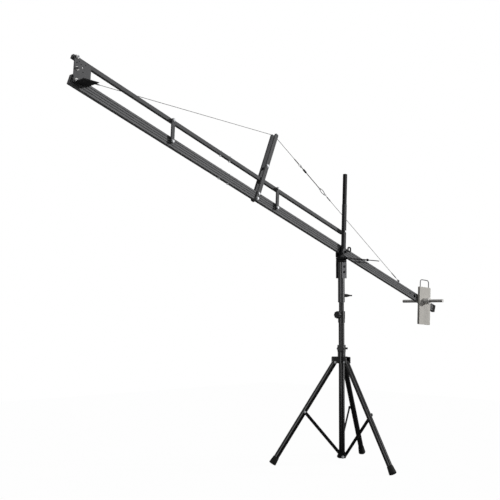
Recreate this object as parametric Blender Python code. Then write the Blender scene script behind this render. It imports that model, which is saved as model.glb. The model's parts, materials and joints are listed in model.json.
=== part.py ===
# Camera jib crane: a counterweighted parallelogram arm with wire stays, on a braced tripod stand.
# Metres, +Z up. The stand rests on Z = 0, the camera end points towards -X, and the near side,
# which carries the links, mast and weight plate, faces -Y.

import math

import bmesh
import bpy
from mathutils import Euler, Matrix, Vector

# Clearance between pieces that touch or turn in each other
FIT = 0.0003
# How far a joined shape reaches into its neighbour, and a cutter past a wall
LAP = 0.002
# How far a bolt head that is one piece with its neighbour sinks into it
SINK = 0.0005
# Sides of round pieces: wires, small rods, bolts and their holes, fittings, and tubes
WIRE_SIDES = 6
ROD_SIDES = 8
BOLT_SIDES = 12
FITTING_SIDES = 20
TUBE_SIDES = 24
# Steps of a round end, a small corner, a bent rod, a wire's eye and a ring
END_STEPS = 10
CORNER_STEPS = 3
BEND_STEPS = 5
EYE_STEPS = 10
RING_STEPS = 16

# Bolts: shank radius, head radius and head thickness
BOLT = 0.004
BOLT_HEAD = 0.0065
BOLT_HEAD_THICK = 0.004
SMALL_BOLT = 0.003
SMALL_HEAD = 0.005
SMALL_HEAD_THICK = 0.003

# Tripod stand. A wall is how much thicker a fitting is than the tube inside it.
TUBE_DIA = 0.038
TUBE_WALL = 0.0022
TUBE_TOP = 0.935
LOWER_HUB_WALL = 0.0065
LOWER_HUB_BOTTOM = 0.041
LOWER_HUB_HEIGHT = 0.037
LOWER_HUB_FLOOR = 0.003
BRACE_PIVOT_RISE = 0.009
LEG_AZIMUTHS = (140.6, 260.6, 20.6)
LEG_DIA = 0.034
LEG_WALL = 0.002
LEG_HINGE_HEIGHT = 0.645
LEG_HINGE_OUT = 0.027
FOOT_RADIUS_ON_FLOOR = 0.453
LEG_END_ABOVE_FLOOR = 0.0125
TONGUE_RADIUS = 0.0145
TONGUE_LENGTH = 0.020
LEG_PLUG = 0.010
LUG_HALF_WIDTH = 0.020
LUG_THICK = 0.0045
LUG_REACH = 0.0165
LUG_INSET = 0.001
HUB_BELOW = 0.008
HUB_BODY = 0.044
HUB_NECK = 0.029
HUB_CLAMP = 0.045
HUB_WALL = 0.0075
NECK_WALL = 0.0065
CLAMP_WALL = 0.008
CLAMP_STOP_AZIMUTH = -40.0
CLAMP_STOP_LENGTH = 0.012
FOOT_WALL = 0.002
FOOT_FLARE = 0.0065
FOOT_LENGTH = 0.050
FOOT_SOLE = 0.004
FOOT_CORNER = 0.005
BRACE_WIDTH = 0.020
BRACE_THICK = 0.005
BRACE_CLEARANCE = 0.006
BRACE_ON_LEG = 0.369
BOSS_DIA = 0.016

# Collar on the main tube's top end
COLLAR_BELOW = 0.038
COLLAR_SKIRT = 0.026
COLLAR_ABOVE = 0.036
COLLAR_WALL = 0.0045
COLLAR_SKIRT_WALL = 0.0035

# Knobs of the two clamps
KNOB_DIA = 0.048
KNOB_THICK = 0.018
KNOB_STEM_DIA = 0.022
KNOB_STEM_LENGTH = 0.008
KNOB_CHAMFER = 0.003
LEG_LOCK_AZIMUTH = 210.0
POLE_LOCK_AZIMUTH = 180.0

# Column on the pole
POLE_WALL = 0.002
POLE_LENGTH = 0.820
SLEEVE_ABOVE_COLLAR = 0.0566
SLEEVE_LENGTH = 0.2594
SLEEVE_WALL = 0.0057
SLEEVE_BORE_DEPTH = 0.1527
CLAMP_LEVER_RISE = 0.0444
CLAMP_LEVER_AZIMUTH = -45.0
CLAMP_LEVER_LENGTH = 0.046
CLAMP_LEVER_BASE = 0.0115
CLAMP_LEVER_TIP = 0.0115
CLAMP_LEVER_DIA = 0.021
CLAMP_LEVER_TIP_DIA = 0.009
BRACKET_WIDTH = 0.048
BRACKET_THICK = 0.0025
BRACKET_HEIGHT = 0.104
BRACKET_BOLT_RISES = (0.0406, 0.0756)

# Pan joint
TURNTABLE_DIA = 0.070
TURNTABLE_BASE_THICK = 0.0154
TURNTABLE_TOP_THICK = 0.017
TURNTABLE_PIN_DIA = 0.012
TURNTABLE_PIN_LENGTH = 0.0095
RIM_ROUND = 0.003

# Tilt head
FULCRUM_X = -0.014
ARM_OVER_TURNTABLE = 0.006
YOKE_LENGTH = 0.044
YOKE_CHEEK = 0.005
YOKE_BASE_THICK = 0.006
YOKE_SIDE_CLEARANCE = 0.001
AXLE_DIA = 0.012
AXLE_HEAD_DIA = 0.020
AXLE_HEAD_THICK = 0.006
BRAKE_DROP = 0.017
BRAKE_DISC_DIA = 0.047
BRAKE_DISC_THICK = 0.004
HANDLE_HUB_DIA = 0.016
HANDLE_HUB_LENGTH = 0.012
HANDLE_ARM = 0.038
HANDLE_ANGLE = 27.0
HANDLE_THICK = 0.006
HANDLE_LOOP_HALF = 0.0125
HANDLE_LOOP_CORNER = 0.006
HANDLE_LOOP_DIA = 0.010
PAN_LEVER_OUT = 0.015
PAN_LEVER_RISE = 0.0088
PAN_LEVER_START = 0.008
PAN_LEVER_BOSS_END = 0.020
PAN_LEVER_BOSS_LENGTH = 0.024
PAN_LEVER_BOSS_SIDE = 0.012
PAN_LEVER_DIA = 0.009
PAN_LEVER_BULB_DIA = 0.017
PAN_LEVER_TIP_DIA = 0.006
PAN_LEVER_BULB = 0.215
PAN_LEVER_END = 0.344

# Mast, leaning with the links and the camera bracket
RAKE = math.radians(2.4)
MAST_SIZE = 0.022
MAST_WALL = 0.002
MAST_BOTTOM = -0.030
MAST_SPLIT = 0.2947
EXTENSION_SIZE = 0.020
EXTENSION_LENGTH = 0.1998
SPIGOT_LENGTH = 0.035
SPIGOT_FLOOR = 0.010

# Arm: s runs along it from the fulcrum towards the weights, n is square to it and up
TILT = math.radians(18.5)
ARM_HEIGHT = 0.050
ARM_WIDTH = 0.024
ARM_WALL = 0.0025
ARM_OVERHANG = 0.023
ARM_SPLIT = -1.090
ARM_REAR = 1.165
BAR_SPACING = 0.116
BAR_HEIGHT = 0.020
BAR_WIDTH = 0.020
BAR_WALL = 0.002
BAR_OVERHANG = 0.017
HEAD_PIVOT = -2.140
LINK_PIVOTS = (-1.510, -0.656)
BAR_SPLIT = -1.088
SPLICE_BOLT_SPACING = 0.0725
ARM_SPLICE_LENGTH = 0.160
ARM_SPLICE_WALL = 0.003
BAR_SPLICE_LENGTH = 0.120
CAP_THICK = 0.003
CAP_PLUG = 0.010
REAR_HOLE_STEPS = ((0.169, 0.007), (0.110, 0.0105))

# Links and the camera end, all on the near side
LINK_CLEARANCE = 0.006
LINK_THICK = 0.0095
LINK_WIDTH = 0.020
WASHER_DIA = 0.018
WASHER_THICK = 0.002
PIVOT_HEAD_THICK = 0.006
SPACER_DIA = 0.014
NUT_THICK = 0.005
PLATE_THICK = 0.007
PLATE_FRONT = -0.0156
PLATE_REAR = 0.0797
PLATE_BOTTOM = -0.0115
PLATE_OVER_BAR = 0.009
PLATE_REAR_TOP = 0.082
PLATE_CORNER = 0.008
PLATE_BOLT_UP = 0.0585
PLATE_HOLE = (0.0336, 0.071)
PLATE_SMALL_HOLES = ((0.0113, 0.0957), (0.0225, 0.084), (0.0467, 0.0856), (0.0342, 0.0479), (-0.0026, 0.0877))
SMALL_HOLE_DIA = 0.0045
TRAY_FRONT = -0.0165
TRAY_REAR = 0.0689
TRAY_DEPTH = 0.092
TRAY_THICK = 0.003
TRAY_CLEARANCE = 0.0022
FLANGE_FRONT = 0.018
FLANGE_HEIGHT = 0.022

# King post straddling the arm, in its own frame that leans towards the weights
KING_AT = -0.822
KING_LEAN = math.radians(3.6)
KING_LEG_WIDTH = 0.025
KING_LEG_THICK = 0.0088
KING_BELOW_ARM = 0.005
KING_LEG_TOP = 0.424
KING_CORNER = 0.004
KING_WEB_BOTTOM = 0.190
KING_SADDLE_DROP = 0.009
KING_BOLT_INSETS = (0.008, 0.011)
KING_WEB_BOLT_RISE = 0.014

# Wire stays. Places on the rear stay are distances from the saddle, each piece after the one before.
WIRE_DIA = 0.003
CRIMP_DIA = 0.005
EYE_RADIUS = 0.008
LUG_HOLE = 0.0035
FRONT_LUG_FROM_PIVOT = 0.035
FRONT_LUG_UP = 0.036
FRONT_LUG_BOTTOM = -0.010
FRONT_LUG_THICK = 0.008
REAR_LUG_AT = 0.680
REAR_LUG_UP = 0.038
REAR_LUG_THICK = 0.004
LUG_LENGTH = 0.016
FRONT_CRIMP = (0.060, 0.100)
TURNBUCKLE_EYE_AT = 0.284
STAY_CRIMP_LENGTH = 0.050
STAY_CRIMP_GAP = 0.022
TURNBUCKLE_BODY_GAP = 0.028
TURNBUCKLE_BODY_LENGTH = 0.028
TURNBUCKLE_BODY_DIA = 0.012
TURNBUCKLE_ROD_DIA = 0.005
TURNBUCKLE_ROD_LENGTH = 0.162
TURNBUCKLE_EYE_RADIUS = 0.006
TURNBUCKLE_EYE_DIA = 0.003
HOOK_LENGTH = 0.052
HOOK_HALF_WIDTH = 0.009
HOOK_ROD_DIA = 0.004
REAR_CRIMP_GAP = 0.028
REAR_CRIMP_LENGTH = 0.042
REAR_END_CRIMP = (0.100, 0.040)

# Weights
WEIGHT_AT = 0.992
WEIGHT_BAR_DIA = 0.022
WEIGHT_BAR_NEAR = 0.180
WEIGHT_BAR_FAR = 0.155
WEIGHT_FLANGE_DIA = 0.034
WEIGHT_FLANGE_THICK = 0.0034
WEIGHT_PLATE_WIDTH = 0.140
WEIGHT_PLATE_HEIGHT = 0.270
WEIGHT_PLATE_THICK = 0.016
WEIGHT_PLATE_ABOVE = 0.100
WEIGHT_CORNER = 0.006
WEIGHT_LEAN = math.radians(3.3)
BAIL_WIDTH = 0.108
BAIL_HEIGHT = 0.052
BAIL_DIA = 0.0065
BAIL_SEAT = 0.012
BAIL_ROUND = 0.020
WEIGHT_NUT_DIA = 0.048
WEIGHT_NUT_LENGTH = 0.040

# Sizes of the stand that follow from the ones above
TUBE_BORE = TUBE_DIA - 2 * TUBE_WALL
POLE_DIA = TUBE_BORE - 2 * FIT
TUBE_BOTTOM = LOWER_HUB_BOTTOM + LOWER_HUB_FLOOR + FIT
LOWER_HUB_DIA = TUBE_DIA + 2 * LOWER_HUB_WALL
LOWER_HUB_TOP = LOWER_HUB_BOTTOM + LOWER_HUB_HEIGHT
BRACE_PIVOT_HEIGHT = LOWER_HUB_BOTTOM + BRACE_PIVOT_RISE
HUB_BOTTOM = LEG_HINGE_HEIGHT - HUB_BELOW
HUB_SHOULDER = HUB_BOTTOM + HUB_BODY
HUB_NECK_TOP = HUB_SHOULDER + HUB_NECK
HUB_TOP = HUB_NECK_TOP + HUB_CLAMP
HUB_DIA = TUBE_DIA + 2 * HUB_WALL
NECK_DIA = TUBE_DIA + 2 * NECK_WALL
CLAMP_DIA = TUBE_DIA + 2 * CLAMP_WALL
LEG_LOCK_HEIGHT = HUB_TOP - HUB_CLAMP / 2
LEG_HINGE_RADIUS = TUBE_DIA / 2 + LEG_HINGE_OUT
LEG_ANGLE = math.atan2(FOOT_RADIUS_ON_FLOOR - LEG_HINGE_RADIUS, LEG_HINGE_HEIGHT)
LEG_LENGTH = (LEG_HINGE_HEIGHT - LEG_END_ABOVE_FLOOR) / math.cos(LEG_ANGLE)
FOOT_DIA = LEG_DIA + 2 * FOOT_WALL
FOOT_FLARE_DIA = LEG_DIA + 2 * FOOT_FLARE
BRACE_OFFSET = TUBE_DIA / 2 + BRACE_CLEARANCE
BRACE_RUN = LEG_HINGE_RADIUS + BRACE_ON_LEG * math.sin(LEG_ANGLE)
BRACE_RISE = LEG_HINGE_HEIGHT - BRACE_ON_LEG * math.cos(LEG_ANGLE) - BRACE_PIVOT_HEIGHT
BRACE_ANGLE = math.atan2(BRACE_RUN, BRACE_RISE)
BRACE_LENGTH = math.hypot(BRACE_RUN, BRACE_RISE)
BRACE_INNER = BRACE_OFFSET - BRACE_THICK / 2
BRACE_OUTER = BRACE_OFFSET + BRACE_THICK / 2
COLLAR_BOTTOM = TUBE_TOP - COLLAR_BELOW
COLLAR_SHOULDER = COLLAR_BOTTOM + COLLAR_SKIRT
COLLAR_TOP = TUBE_TOP + COLLAR_ABOVE
COLLAR_DIA = TUBE_DIA + 2 * COLLAR_WALL
COLLAR_SKIRT_DIA = TUBE_DIA + 2 * COLLAR_SKIRT_WALL
POLE_LOCK_HEIGHT = (COLLAR_SHOULDER + COLLAR_TOP) / 2

# Sizes of the column and the head that follow
SLEEVE_DIA = POLE_DIA + 2 * SLEEVE_WALL
SLEEVE_BOTTOM = COLLAR_TOP + SLEEVE_ABOVE_COLLAR
SLEEVE_BORE_TOP = SLEEVE_BOTTOM + SLEEVE_BORE_DEPTH
POLE_TOP = SLEEVE_BORE_TOP - FIT
POLE_BOTTOM = POLE_TOP - POLE_LENGTH
CLAMP_LEVER_HEIGHT = SLEEVE_BOTTOM + CLAMP_LEVER_RISE
BRACKET_TOP = SLEEVE_BOTTOM + SLEEVE_LENGTH
BRACKET_BOTTOM = BRACKET_TOP - BRACKET_HEIGHT
BRACKET_BOLT_HEIGHTS = tuple(BRACKET_BOTTOM + rise for rise in BRACKET_BOLT_RISES)
BRACKET_INNER = SLEEVE_DIA / 2 + FIT
BRACKET_OUTER = BRACKET_INNER + BRACKET_THICK
TURNTABLE_SPLIT = BRACKET_TOP + FIT + TURNTABLE_BASE_THICK
TURNTABLE_TOP = TURNTABLE_SPLIT + TURNTABLE_TOP_THICK
PAN_LEVER_Y = TURNTABLE_DIA / 2 + PAN_LEVER_OUT
PAN_LEVER_HEIGHT = TURNTABLE_SPLIT + PAN_LEVER_RISE
# The tilted arm's underside passes over the turntable's rim
RIM_RISE = (TURNTABLE_DIA / 2 - FULCRUM_X) * math.tan(TILT)
FULCRUM_HEIGHT = TURNTABLE_TOP + RIM_RISE + ARM_HEIGHT / 2 / math.cos(TILT) + ARM_OVER_TURNTABLE
YOKE_INNER = ARM_WIDTH / 2 + YOKE_SIDE_CLEARANCE
YOKE_OUTER = YOKE_INNER + YOKE_CHEEK
YOKE_BASE_BOTTOM = TURNTABLE_TOP + FIT - FULCRUM_HEIGHT
MAST_TOP = MAST_SPLIT + EXTENSION_LENGTH
MAST_FAR = -(YOKE_OUTER + FIT)
MAST_NEAR = MAST_FAR - MAST_SIZE
MAST_MIDDLE = (MAST_FAR + MAST_NEAR) / 2

# Sizes of the arm, its king post, stays and weights that follow
ARM_FRONT = HEAD_PIVOT - ARM_OVERHANG
REAR_HOLES = tuple((WEIGHT_AT - step, radius) for step, radius in REAR_HOLE_STEPS)
LINK_BACK = ARM_WIDTH / 2 + LINK_CLEARANCE
LINK_FRONT = LINK_BACK + LINK_THICK
PLATE_TOP = BAR_SPACING + PLATE_OVER_BAR
TRAY_DROP = WASHER_DIA / 2 + TRAY_CLEARANCE + TRAY_THICK
KING_INNER = ARM_WIDTH / 2 + FIT
KING_OUTER = KING_INNER + KING_LEG_THICK
KING_HALF = KING_LEG_WIDTH / 2
KING_LEG_BOTTOM = -(ARM_HEIGHT / 2 + KING_BELOW_ARM)
KING_ARM_BOLTS = (ARM_HEIGHT / 2 - KING_BOLT_INSETS[0], KING_BOLT_INSETS[1] - ARM_HEIGHT / 2)
KING_WEB_BOLT = KING_WEB_BOTTOM + KING_WEB_BOLT_RISE
KING_SADDLE = KING_LEG_TOP - KING_SADDLE_DROP
WIRE = WIRE_DIA / 2
FRONT_LUG_AT = HEAD_PIVOT + FRONT_LUG_FROM_PIVOT
STAY_CRIMP_END = TURNBUCKLE_EYE_AT - STAY_CRIMP_GAP
STAY_CRIMP = (STAY_CRIMP_END - STAY_CRIMP_LENGTH, STAY_CRIMP_END)
TURNBUCKLE_BODY_START = TURNBUCKLE_EYE_AT + TURNBUCKLE_BODY_GAP
TURNBUCKLE_BODY_END = TURNBUCKLE_BODY_START + TURNBUCKLE_BODY_LENGTH
HOOK_START = TURNBUCKLE_BODY_END + TURNBUCKLE_ROD_LENGTH
HOOK_ENDS = (HOOK_START, HOOK_START + HOOK_LENGTH)
REAR_CRIMP_START = HOOK_ENDS[1] + REAR_CRIMP_GAP
REAR_CRIMP = (REAR_CRIMP_START, REAR_CRIMP_START + REAR_CRIMP_LENGTH)
WEIGHT_PLATE_INNER = ARM_WIDTH / 2 + 2 * FIT + WEIGHT_FLANGE_THICK
WEIGHT_PLATE_OUTER = WEIGHT_PLATE_INNER + WEIGHT_PLATE_THICK


# Shapes, each a closed mesh in its own bmesh

def cylinder(radius, start, end, segments=FITTING_SIDES, bore=False):
    """A round bar between two points. A bore's flat sides lie at its radius, so that its pin clears them."""
    start = Vector(start)
    end = Vector(end)
    if bore:
        radius = radius / math.cos(math.pi / segments)
    turn = (end - start).to_track_quat("Z", "Y").to_matrix().to_4x4()
    shape = bmesh.new()
    bmesh.ops.create_cone(
        shape,
        cap_ends=True,
        segments=segments,
        radius1=radius,
        radius2=radius,
        depth=(end - start).length,
        matrix=Matrix.Translation((start + end) / 2) @ turn,
    )
    return shape


def box(x_range, y_range, z_range):
    size = [max(pair) - min(pair) for pair in (x_range, y_range, z_range)]
    middle = [sum(pair) / 2 for pair in (x_range, y_range, z_range)]
    shape = bmesh.new()
    bmesh.ops.create_cube(shape, size=1.0, matrix=Matrix.Translation(middle) @ Matrix.Diagonal((*size, 1.0)))
    return shape


def prism(outline, y_range):
    """An outline of (x, z) points, extruded along Y."""
    shape = bmesh.new()
    face = shape.faces.new([shape.verts.new((x, min(y_range), z)) for x, z in outline])
    extruded = bmesh.ops.extrude_face_region(shape, geom=[face])
    moved = [item for item in extruded["geom"] if isinstance(item, bmesh.types.BMVert)]
    bmesh.ops.translate(shape, verts=moved, vec=(0, max(y_range) - min(y_range), 0))
    bmesh.ops.recalc_face_normals(shape, faces=shape.faces)
    return shape


def turned(profile, segments=FITTING_SIDES):
    """A profile of (radius, height) points, closed and turned round Z."""
    shape = bmesh.new()
    points = [shape.verts.new((radius, 0, height)) for radius, height in profile]
    edges = [shape.edges.new((a, b)) for a, b in zip(points, points[1:] + points[:1])]
    on_axis = [edge for edge in edges if all(vert.co.x == 0 for vert in edge.verts)]
    bmesh.ops.delete(shape, geom=on_axis, context="EDGES_FACES")
    bmesh.ops.spin(
        shape,
        geom=shape.verts[:] + shape.edges[:],
        axis=(0, 0, 1),
        cent=(0, 0, 0),
        steps=segments,
        angle=2 * math.pi,
        use_merge=True,
    )
    bmesh.ops.remove_doubles(shape, verts=shape.verts, dist=1e-6)
    bmesh.ops.recalc_face_normals(shape, faces=shape.faces)
    return shape


def rod(points, radius, closed=False, sides=ROD_SIDES):
    """A round rod through a list of points, mitred at each of them."""
    points = [Vector(point) for point in points]
    count = len(points)
    runs = [(points[(i + 1) % count] - points[i]).normalized() for i in range(count)]
    shape = bmesh.new()
    side = runs[0].orthogonal().normalized()
    rings = []
    for i, point in enumerate(points):
        before = runs[i - 1] if closed or i > 0 else runs[0]
        after = runs[i] if closed or i < count - 1 else before
        along = (before + after).normalized()
        side = (side - along * side.dot(along)).normalized()
        across = along.cross(side)
        angles = [2 * math.pi * k / sides for k in range(sides)]
        ring = [point + radius * (side * math.cos(a) + across * math.sin(a)) for a in angles]
        rings.append([shape.verts.new(place) for place in ring])
    for i in range(count if closed else count - 1):
        first = rings[i]
        second = rings[(i + 1) % count]
        for k in range(sides):
            shape.faces.new((first[k], first[(k + 1) % sides], second[(k + 1) % sides], second[k]))
    if not closed:
        shape.faces.new(rings[0])
        shape.faces.new(rings[-1])
    bmesh.ops.recalc_face_normals(shape, faces=shape.faces)
    return shape


def placed(shape, matrix):
    bmesh.ops.transform(shape, matrix=matrix, verts=shape.verts)
    return shape


def joined(shapes):
    """Shapes that don't touch each other, as one mesh."""
    whole = bmesh.new()
    for shape in shapes:
        mesh = bpy.data.meshes.new("joined")
        shape.to_mesh(mesh)
        shape.free()
        whole.from_mesh(mesh)
        bpy.data.meshes.remove(mesh)
    return whole


def arc(middle, radius, start, end, steps=END_STEPS):
    """Points on an arc, with its angles in degrees."""
    angles = [math.radians(start + (end - start) * k / steps) for k in range(steps + 1)]
    return [(middle[0] + radius * math.cos(a), middle[1] + radius * math.sin(a)) for a in angles]


def round_ended(bottom, top, radius):
    """The outline of a flat bar along z with round ends at the two heights."""
    return arc((0, top), radius, 0, 180) + arc((0, bottom), radius, 180, 360)


def stepped_pin(steps, segments=BOLT_SIDES):
    """A pin turned round Y: (radius, y end) steps that start at the first step's y."""
    profile = [(0.0, steps[0][1])]
    level = steps[0][1]
    for radius, end in steps[1:]:
        profile += [(radius, level), (radius, end)]
        level = end
    profile.append((0.0, level))
    return placed(turned(profile, segments), Matrix.Rotation(math.radians(-90), 4, "X"))


def cross_bolt(at, near, far, shank=BOLT, head=BOLT_HEAD, thick=BOLT_HEAD_THICK):
    """A bolt along Y at an (x, z) place, with a head past each of the two y faces."""
    pin = stepped_pin(((0, near - thick), (head, near), (shank, far), (head, far + thick)))
    return placed(pin, Matrix.Translation((at[0], 0, at[1])))


def cross_hole(at, radius, y_range, segments=BOLT_SIDES):
    start = (at[0], min(y_range), at[1])
    end = (at[0], max(y_range), at[1])
    return cylinder(radius + FIT, start, end, segments, bore=True)


# Objects

def clear_scene():
    for old in list(bpy.data.objects):
        bpy.data.objects.remove(old, do_unlink=True)


def finish(name, colour, roughness, metallic=0.0):
    material = bpy.data.materials.new(name)
    material.use_nodes = True
    shader = material.node_tree.nodes["Principled BSDF"]
    shader.inputs["Base Color"].default_value = (*colour, 1.0)
    shader.inputs["Roughness"].default_value = roughness
    shader.inputs["Metallic"].default_value = metallic
    material.diffuse_color = (*colour, 1.0)
    return material


def frame(name, place=(0, 0, 0), turn=(0, 0, 0), parent=None):
    """An empty that carries pieces and marks a joint."""
    empty = bpy.data.objects.new(name, None)
    empty.empty_display_size = 0.05
    empty.location = place
    empty.rotation_euler = turn
    empty.parent = parent
    bpy.context.scene.collection.objects.link(empty)
    return empty


def mesh_object(name, shape, parent):
    mesh = bpy.data.meshes.new(name)
    shape.to_mesh(mesh)
    shape.free()
    item = bpy.data.objects.new(name, mesh)
    item.parent = parent
    bpy.context.scene.collection.objects.link(item)
    return item


def solid(name, parent, material, shape, cuts=(), adds=(), holes=()):
    """One closed piece: a shape, less its cuts, with its added shapes, less its holes, which lie apart."""
    item = mesh_object(name, shape, parent)
    item.data.materials.append(material)
    work = [("DIFFERENCE", other) for other in cuts]
    work += [("UNION", other) for other in adds]
    if holes:
        work.append(("DIFFERENCE", joined(holes)))
    for number, (operation, other) in enumerate(work, 1):
        guide = mesh_object(f"{name}_guide_{number}", other, parent)
        guide.hide_render = True
        guide.display_type = "WIRE"
        boolean = item.modifiers.new(f"{operation.title()} {number}", "BOOLEAN")
        boolean.operation = operation
        boolean.solver = "EXACT"
        boolean.object = guide
    item.data.shade_smooth()
    item.data.set_sharp_from_angle(angle=math.radians(35))
    return item


def outward(azimuth):
    """The turn that points a frame's Z outwards at an azimuth in degrees."""
    return (0, math.pi / 2, math.radians(azimuth))


def raked(height):
    """A place up the mast from the fulcrum, in the axes of the stand."""
    return Vector((height * math.sin(RAKE), 0, height * math.cos(RAKE)))


def on_arm(s, n=0.0):
    """A place on the arm, in the axes of the stand."""
    fulcrum = Vector((FULCRUM_X, 0, FULCRUM_HEIGHT))
    return fulcrum + Euler((0, TILT, 0)).to_matrix() @ Vector((s, 0, n))


def on_king(up):
    """A height up the king post as a place (s, n) on the arm."""
    return (KING_AT + up * math.sin(KING_LEAN), up * math.cos(KING_LEAN))


# Tripod stand

def make_stand(origin, black, rubber, plastic):
    tube_profile = [
        (TUBE_BORE / 2, TUBE_BOTTOM),
        (TUBE_DIA / 2, TUBE_BOTTOM),
        (TUBE_DIA / 2, TUBE_TOP),
        (TUBE_BORE / 2, TUBE_TOP),
    ]
    solid("stand_tube", origin, black, turned(tube_profile, TUBE_SIDES))
    make_lower_hub(origin, black)
    hub = frame("leg_hub_slide", (0, 0, LEG_HINGE_HEIGHT), parent=origin)
    make_leg_hub(hub, black)
    for number, azimuth in enumerate(LEG_AZIMUTHS, 1):
        make_leg(number, azimuth, origin, black, rubber)
        make_brace(number, azimuth, origin, black)
    make_knob("leg_lock_knob", LEG_LOCK_AZIMUTH, LEG_LOCK_HEIGHT, TUBE_DIA, CLAMP_DIA, origin, plastic)
    make_knob("pole_lock_knob", POLE_LOCK_AZIMUTH, POLE_LOCK_HEIGHT, POLE_DIA, COLLAR_DIA, origin, plastic)
    make_collar(origin, black)


def tube_socket(radius, bottom, top):
    """The cutter of a bore along Z."""
    return cylinder(radius + FIT, (0, 0, bottom), (0, 0, top), TUBE_SIDES, bore=True)


def radial_hole(azimuth, height, radius, start, end):
    way = Vector((math.cos(math.radians(azimuth)), math.sin(math.radians(azimuth)), 0))
    rise = Vector((0, 0, height))
    return cylinder(radius + FIT, way * start + rise, way * end + rise, BOLT_SIDES, bore=True)


def make_lower_hub(origin, material):
    body = cylinder(LOWER_HUB_DIA / 2, (0, 0, LOWER_HUB_BOTTOM), (0, 0, LOWER_HUB_TOP), TUBE_SIDES)
    cuts = [tube_socket(TUBE_DIA / 2, LOWER_HUB_BOTTOM + LOWER_HUB_FLOOR, LOWER_HUB_TOP + LAP)]
    pins = []
    face = BRACE_INNER - FIT
    for azimuth in LEG_AZIMUTHS:
        spin = Matrix.Rotation(math.radians(azimuth), 4, "Z")
        reach = LOWER_HUB_DIA
        flat = box((-reach, reach), (face, face + reach), (LOWER_HUB_BOTTOM - LAP, LOWER_HUB_TOP + LAP))
        cuts.append(placed(flat, spin))
        head_face = BRACE_OUTER + FIT
        pin = stepped_pin(((0, face - LAP), (BOLT, head_face), (BOLT_HEAD, head_face + SMALL_HEAD_THICK)))
        pins.append(placed(placed(pin, Matrix.Translation((0, 0, BRACE_PIVOT_HEIGHT))), spin))
    solid("lower_hub", origin, material, body, cuts, pins)


def make_leg_hub(hub, material):
    """The spider that slides on the main tube, in a frame at the height of the leg hinges."""
    levels = [height - LEG_HINGE_HEIGHT for height in (HUB_BOTTOM, HUB_SHOULDER, HUB_NECK_TOP, HUB_TOP)]
    bottom, shoulder, neck_top, top = levels
    bore = TUBE_DIA / 2 + FIT
    profile = [
        (bore, bottom),
        (HUB_DIA / 2, bottom),
        (HUB_DIA / 2, shoulder),
        (NECK_DIA / 2, shoulder),
        (NECK_DIA / 2, neck_top),
        (CLAMP_DIA / 2, neck_top),
        (CLAMP_DIA / 2, top),
        (bore, top),
    ]
    adds = []
    reach = LEG_HINGE_RADIUS + LUG_REACH
    root = math.sqrt((HUB_DIA / 2) ** 2 - LUG_HALF_WIDTH ** 2) - LAP
    side = LUG_THICK
    lug_bottom = bottom + LUG_INSET
    lug_top = shoulder - LUG_INSET
    lug = [(root, lug_bottom), (reach - side, lug_bottom), (reach, bottom + side)]
    lug += [(reach, lug_top - side), (reach - side, lug_top), (root, lug_top)]
    lug_inner = LUG_HALF_WIDTH - LUG_THICK
    for azimuth in LEG_AZIMUTHS:
        spin = Matrix.Rotation(math.radians(azimuth), 4, "Z")
        for sign in (-1, 1):
            adds.append(placed(prism(lug, (sign * lug_inner, sign * LUG_HALF_WIDTH)), spin))
        pin = cross_bolt((LEG_HINGE_RADIUS, 0), SINK - LUG_HALF_WIDTH, LUG_HALF_WIDTH - SINK)
        adds.append(placed(pin, spin))
    lock = LEG_LOCK_HEIGHT - LEG_HINGE_HEIGHT
    side = math.radians(CLAMP_STOP_AZIMUTH)
    way = Vector((math.cos(side), math.sin(side), 0))
    rise = Vector((0, 0, lock))
    stub = (way * (CLAMP_DIA / 2 - LAP) + rise, way * (CLAMP_DIA / 2 + CLAMP_STOP_LENGTH) + rise)
    adds.append(cylinder(BOLT_HEAD, *stub, BOLT_SIDES))
    hole = radial_hole(LEG_LOCK_AZIMUTH, lock, BOLT, TUBE_DIA / 2 - LAP, CLAMP_DIA / 2 + LAP)
    solid("leg_hub", hub, material, turned(profile, TUBE_SIDES), adds=adds, holes=[hole])


def make_leg(number, azimuth, origin, material, rubber):
    spread = math.radians(azimuth)
    place = (LEG_HINGE_RADIUS * math.cos(spread), LEG_HINGE_RADIUS * math.sin(spread), LEG_HINGE_HEIGHT)
    leg = frame(f"leg_{number}_hinge", place, (0, -LEG_ANGLE, spread), origin)
    tongue_half = LUG_HALF_WIDTH - LUG_THICK - FIT
    body = cylinder(LEG_DIA / 2, (0, 0, -LEG_LENGTH), (0, 0, TONGUE_RADIUS))
    wide = LEG_DIA
    sides = [
        box((-wide, wide), (sign * tongue_half, sign * wide), (-TONGUE_LENGTH, wide))
        for sign in (-1, 1)
    ]
    bite = arc((0, 0), TONGUE_RADIUS, 180, 0)
    round_top = prism([(-wide, 0)] + bite + [(wide, 0), (wide, wide), (-wide, wide)], (-wide, wide))
    bore_top = -TONGUE_LENGTH - LEG_PLUG
    bore = cylinder(LEG_DIA / 2 - LEG_WALL, (0, 0, -LEG_LENGTH - LAP), (0, 0, bore_top))
    boss = cylinder(
        BOSS_DIA / 2,
        (0, LEG_DIA / 2 - LEG_WALL / 2, -BRACE_ON_LEG),
        (0, BRACE_INNER - FIT, -BRACE_ON_LEG),
        BOLT_SIDES,
    )
    hinge_hole = cross_hole((0, 0), BOLT, (-wide, wide))
    solid(f"leg_{number}", leg, material, body, sides + [round_top, bore], [boss], [hinge_hole])
    make_foot(number, leg, rubber)


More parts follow.
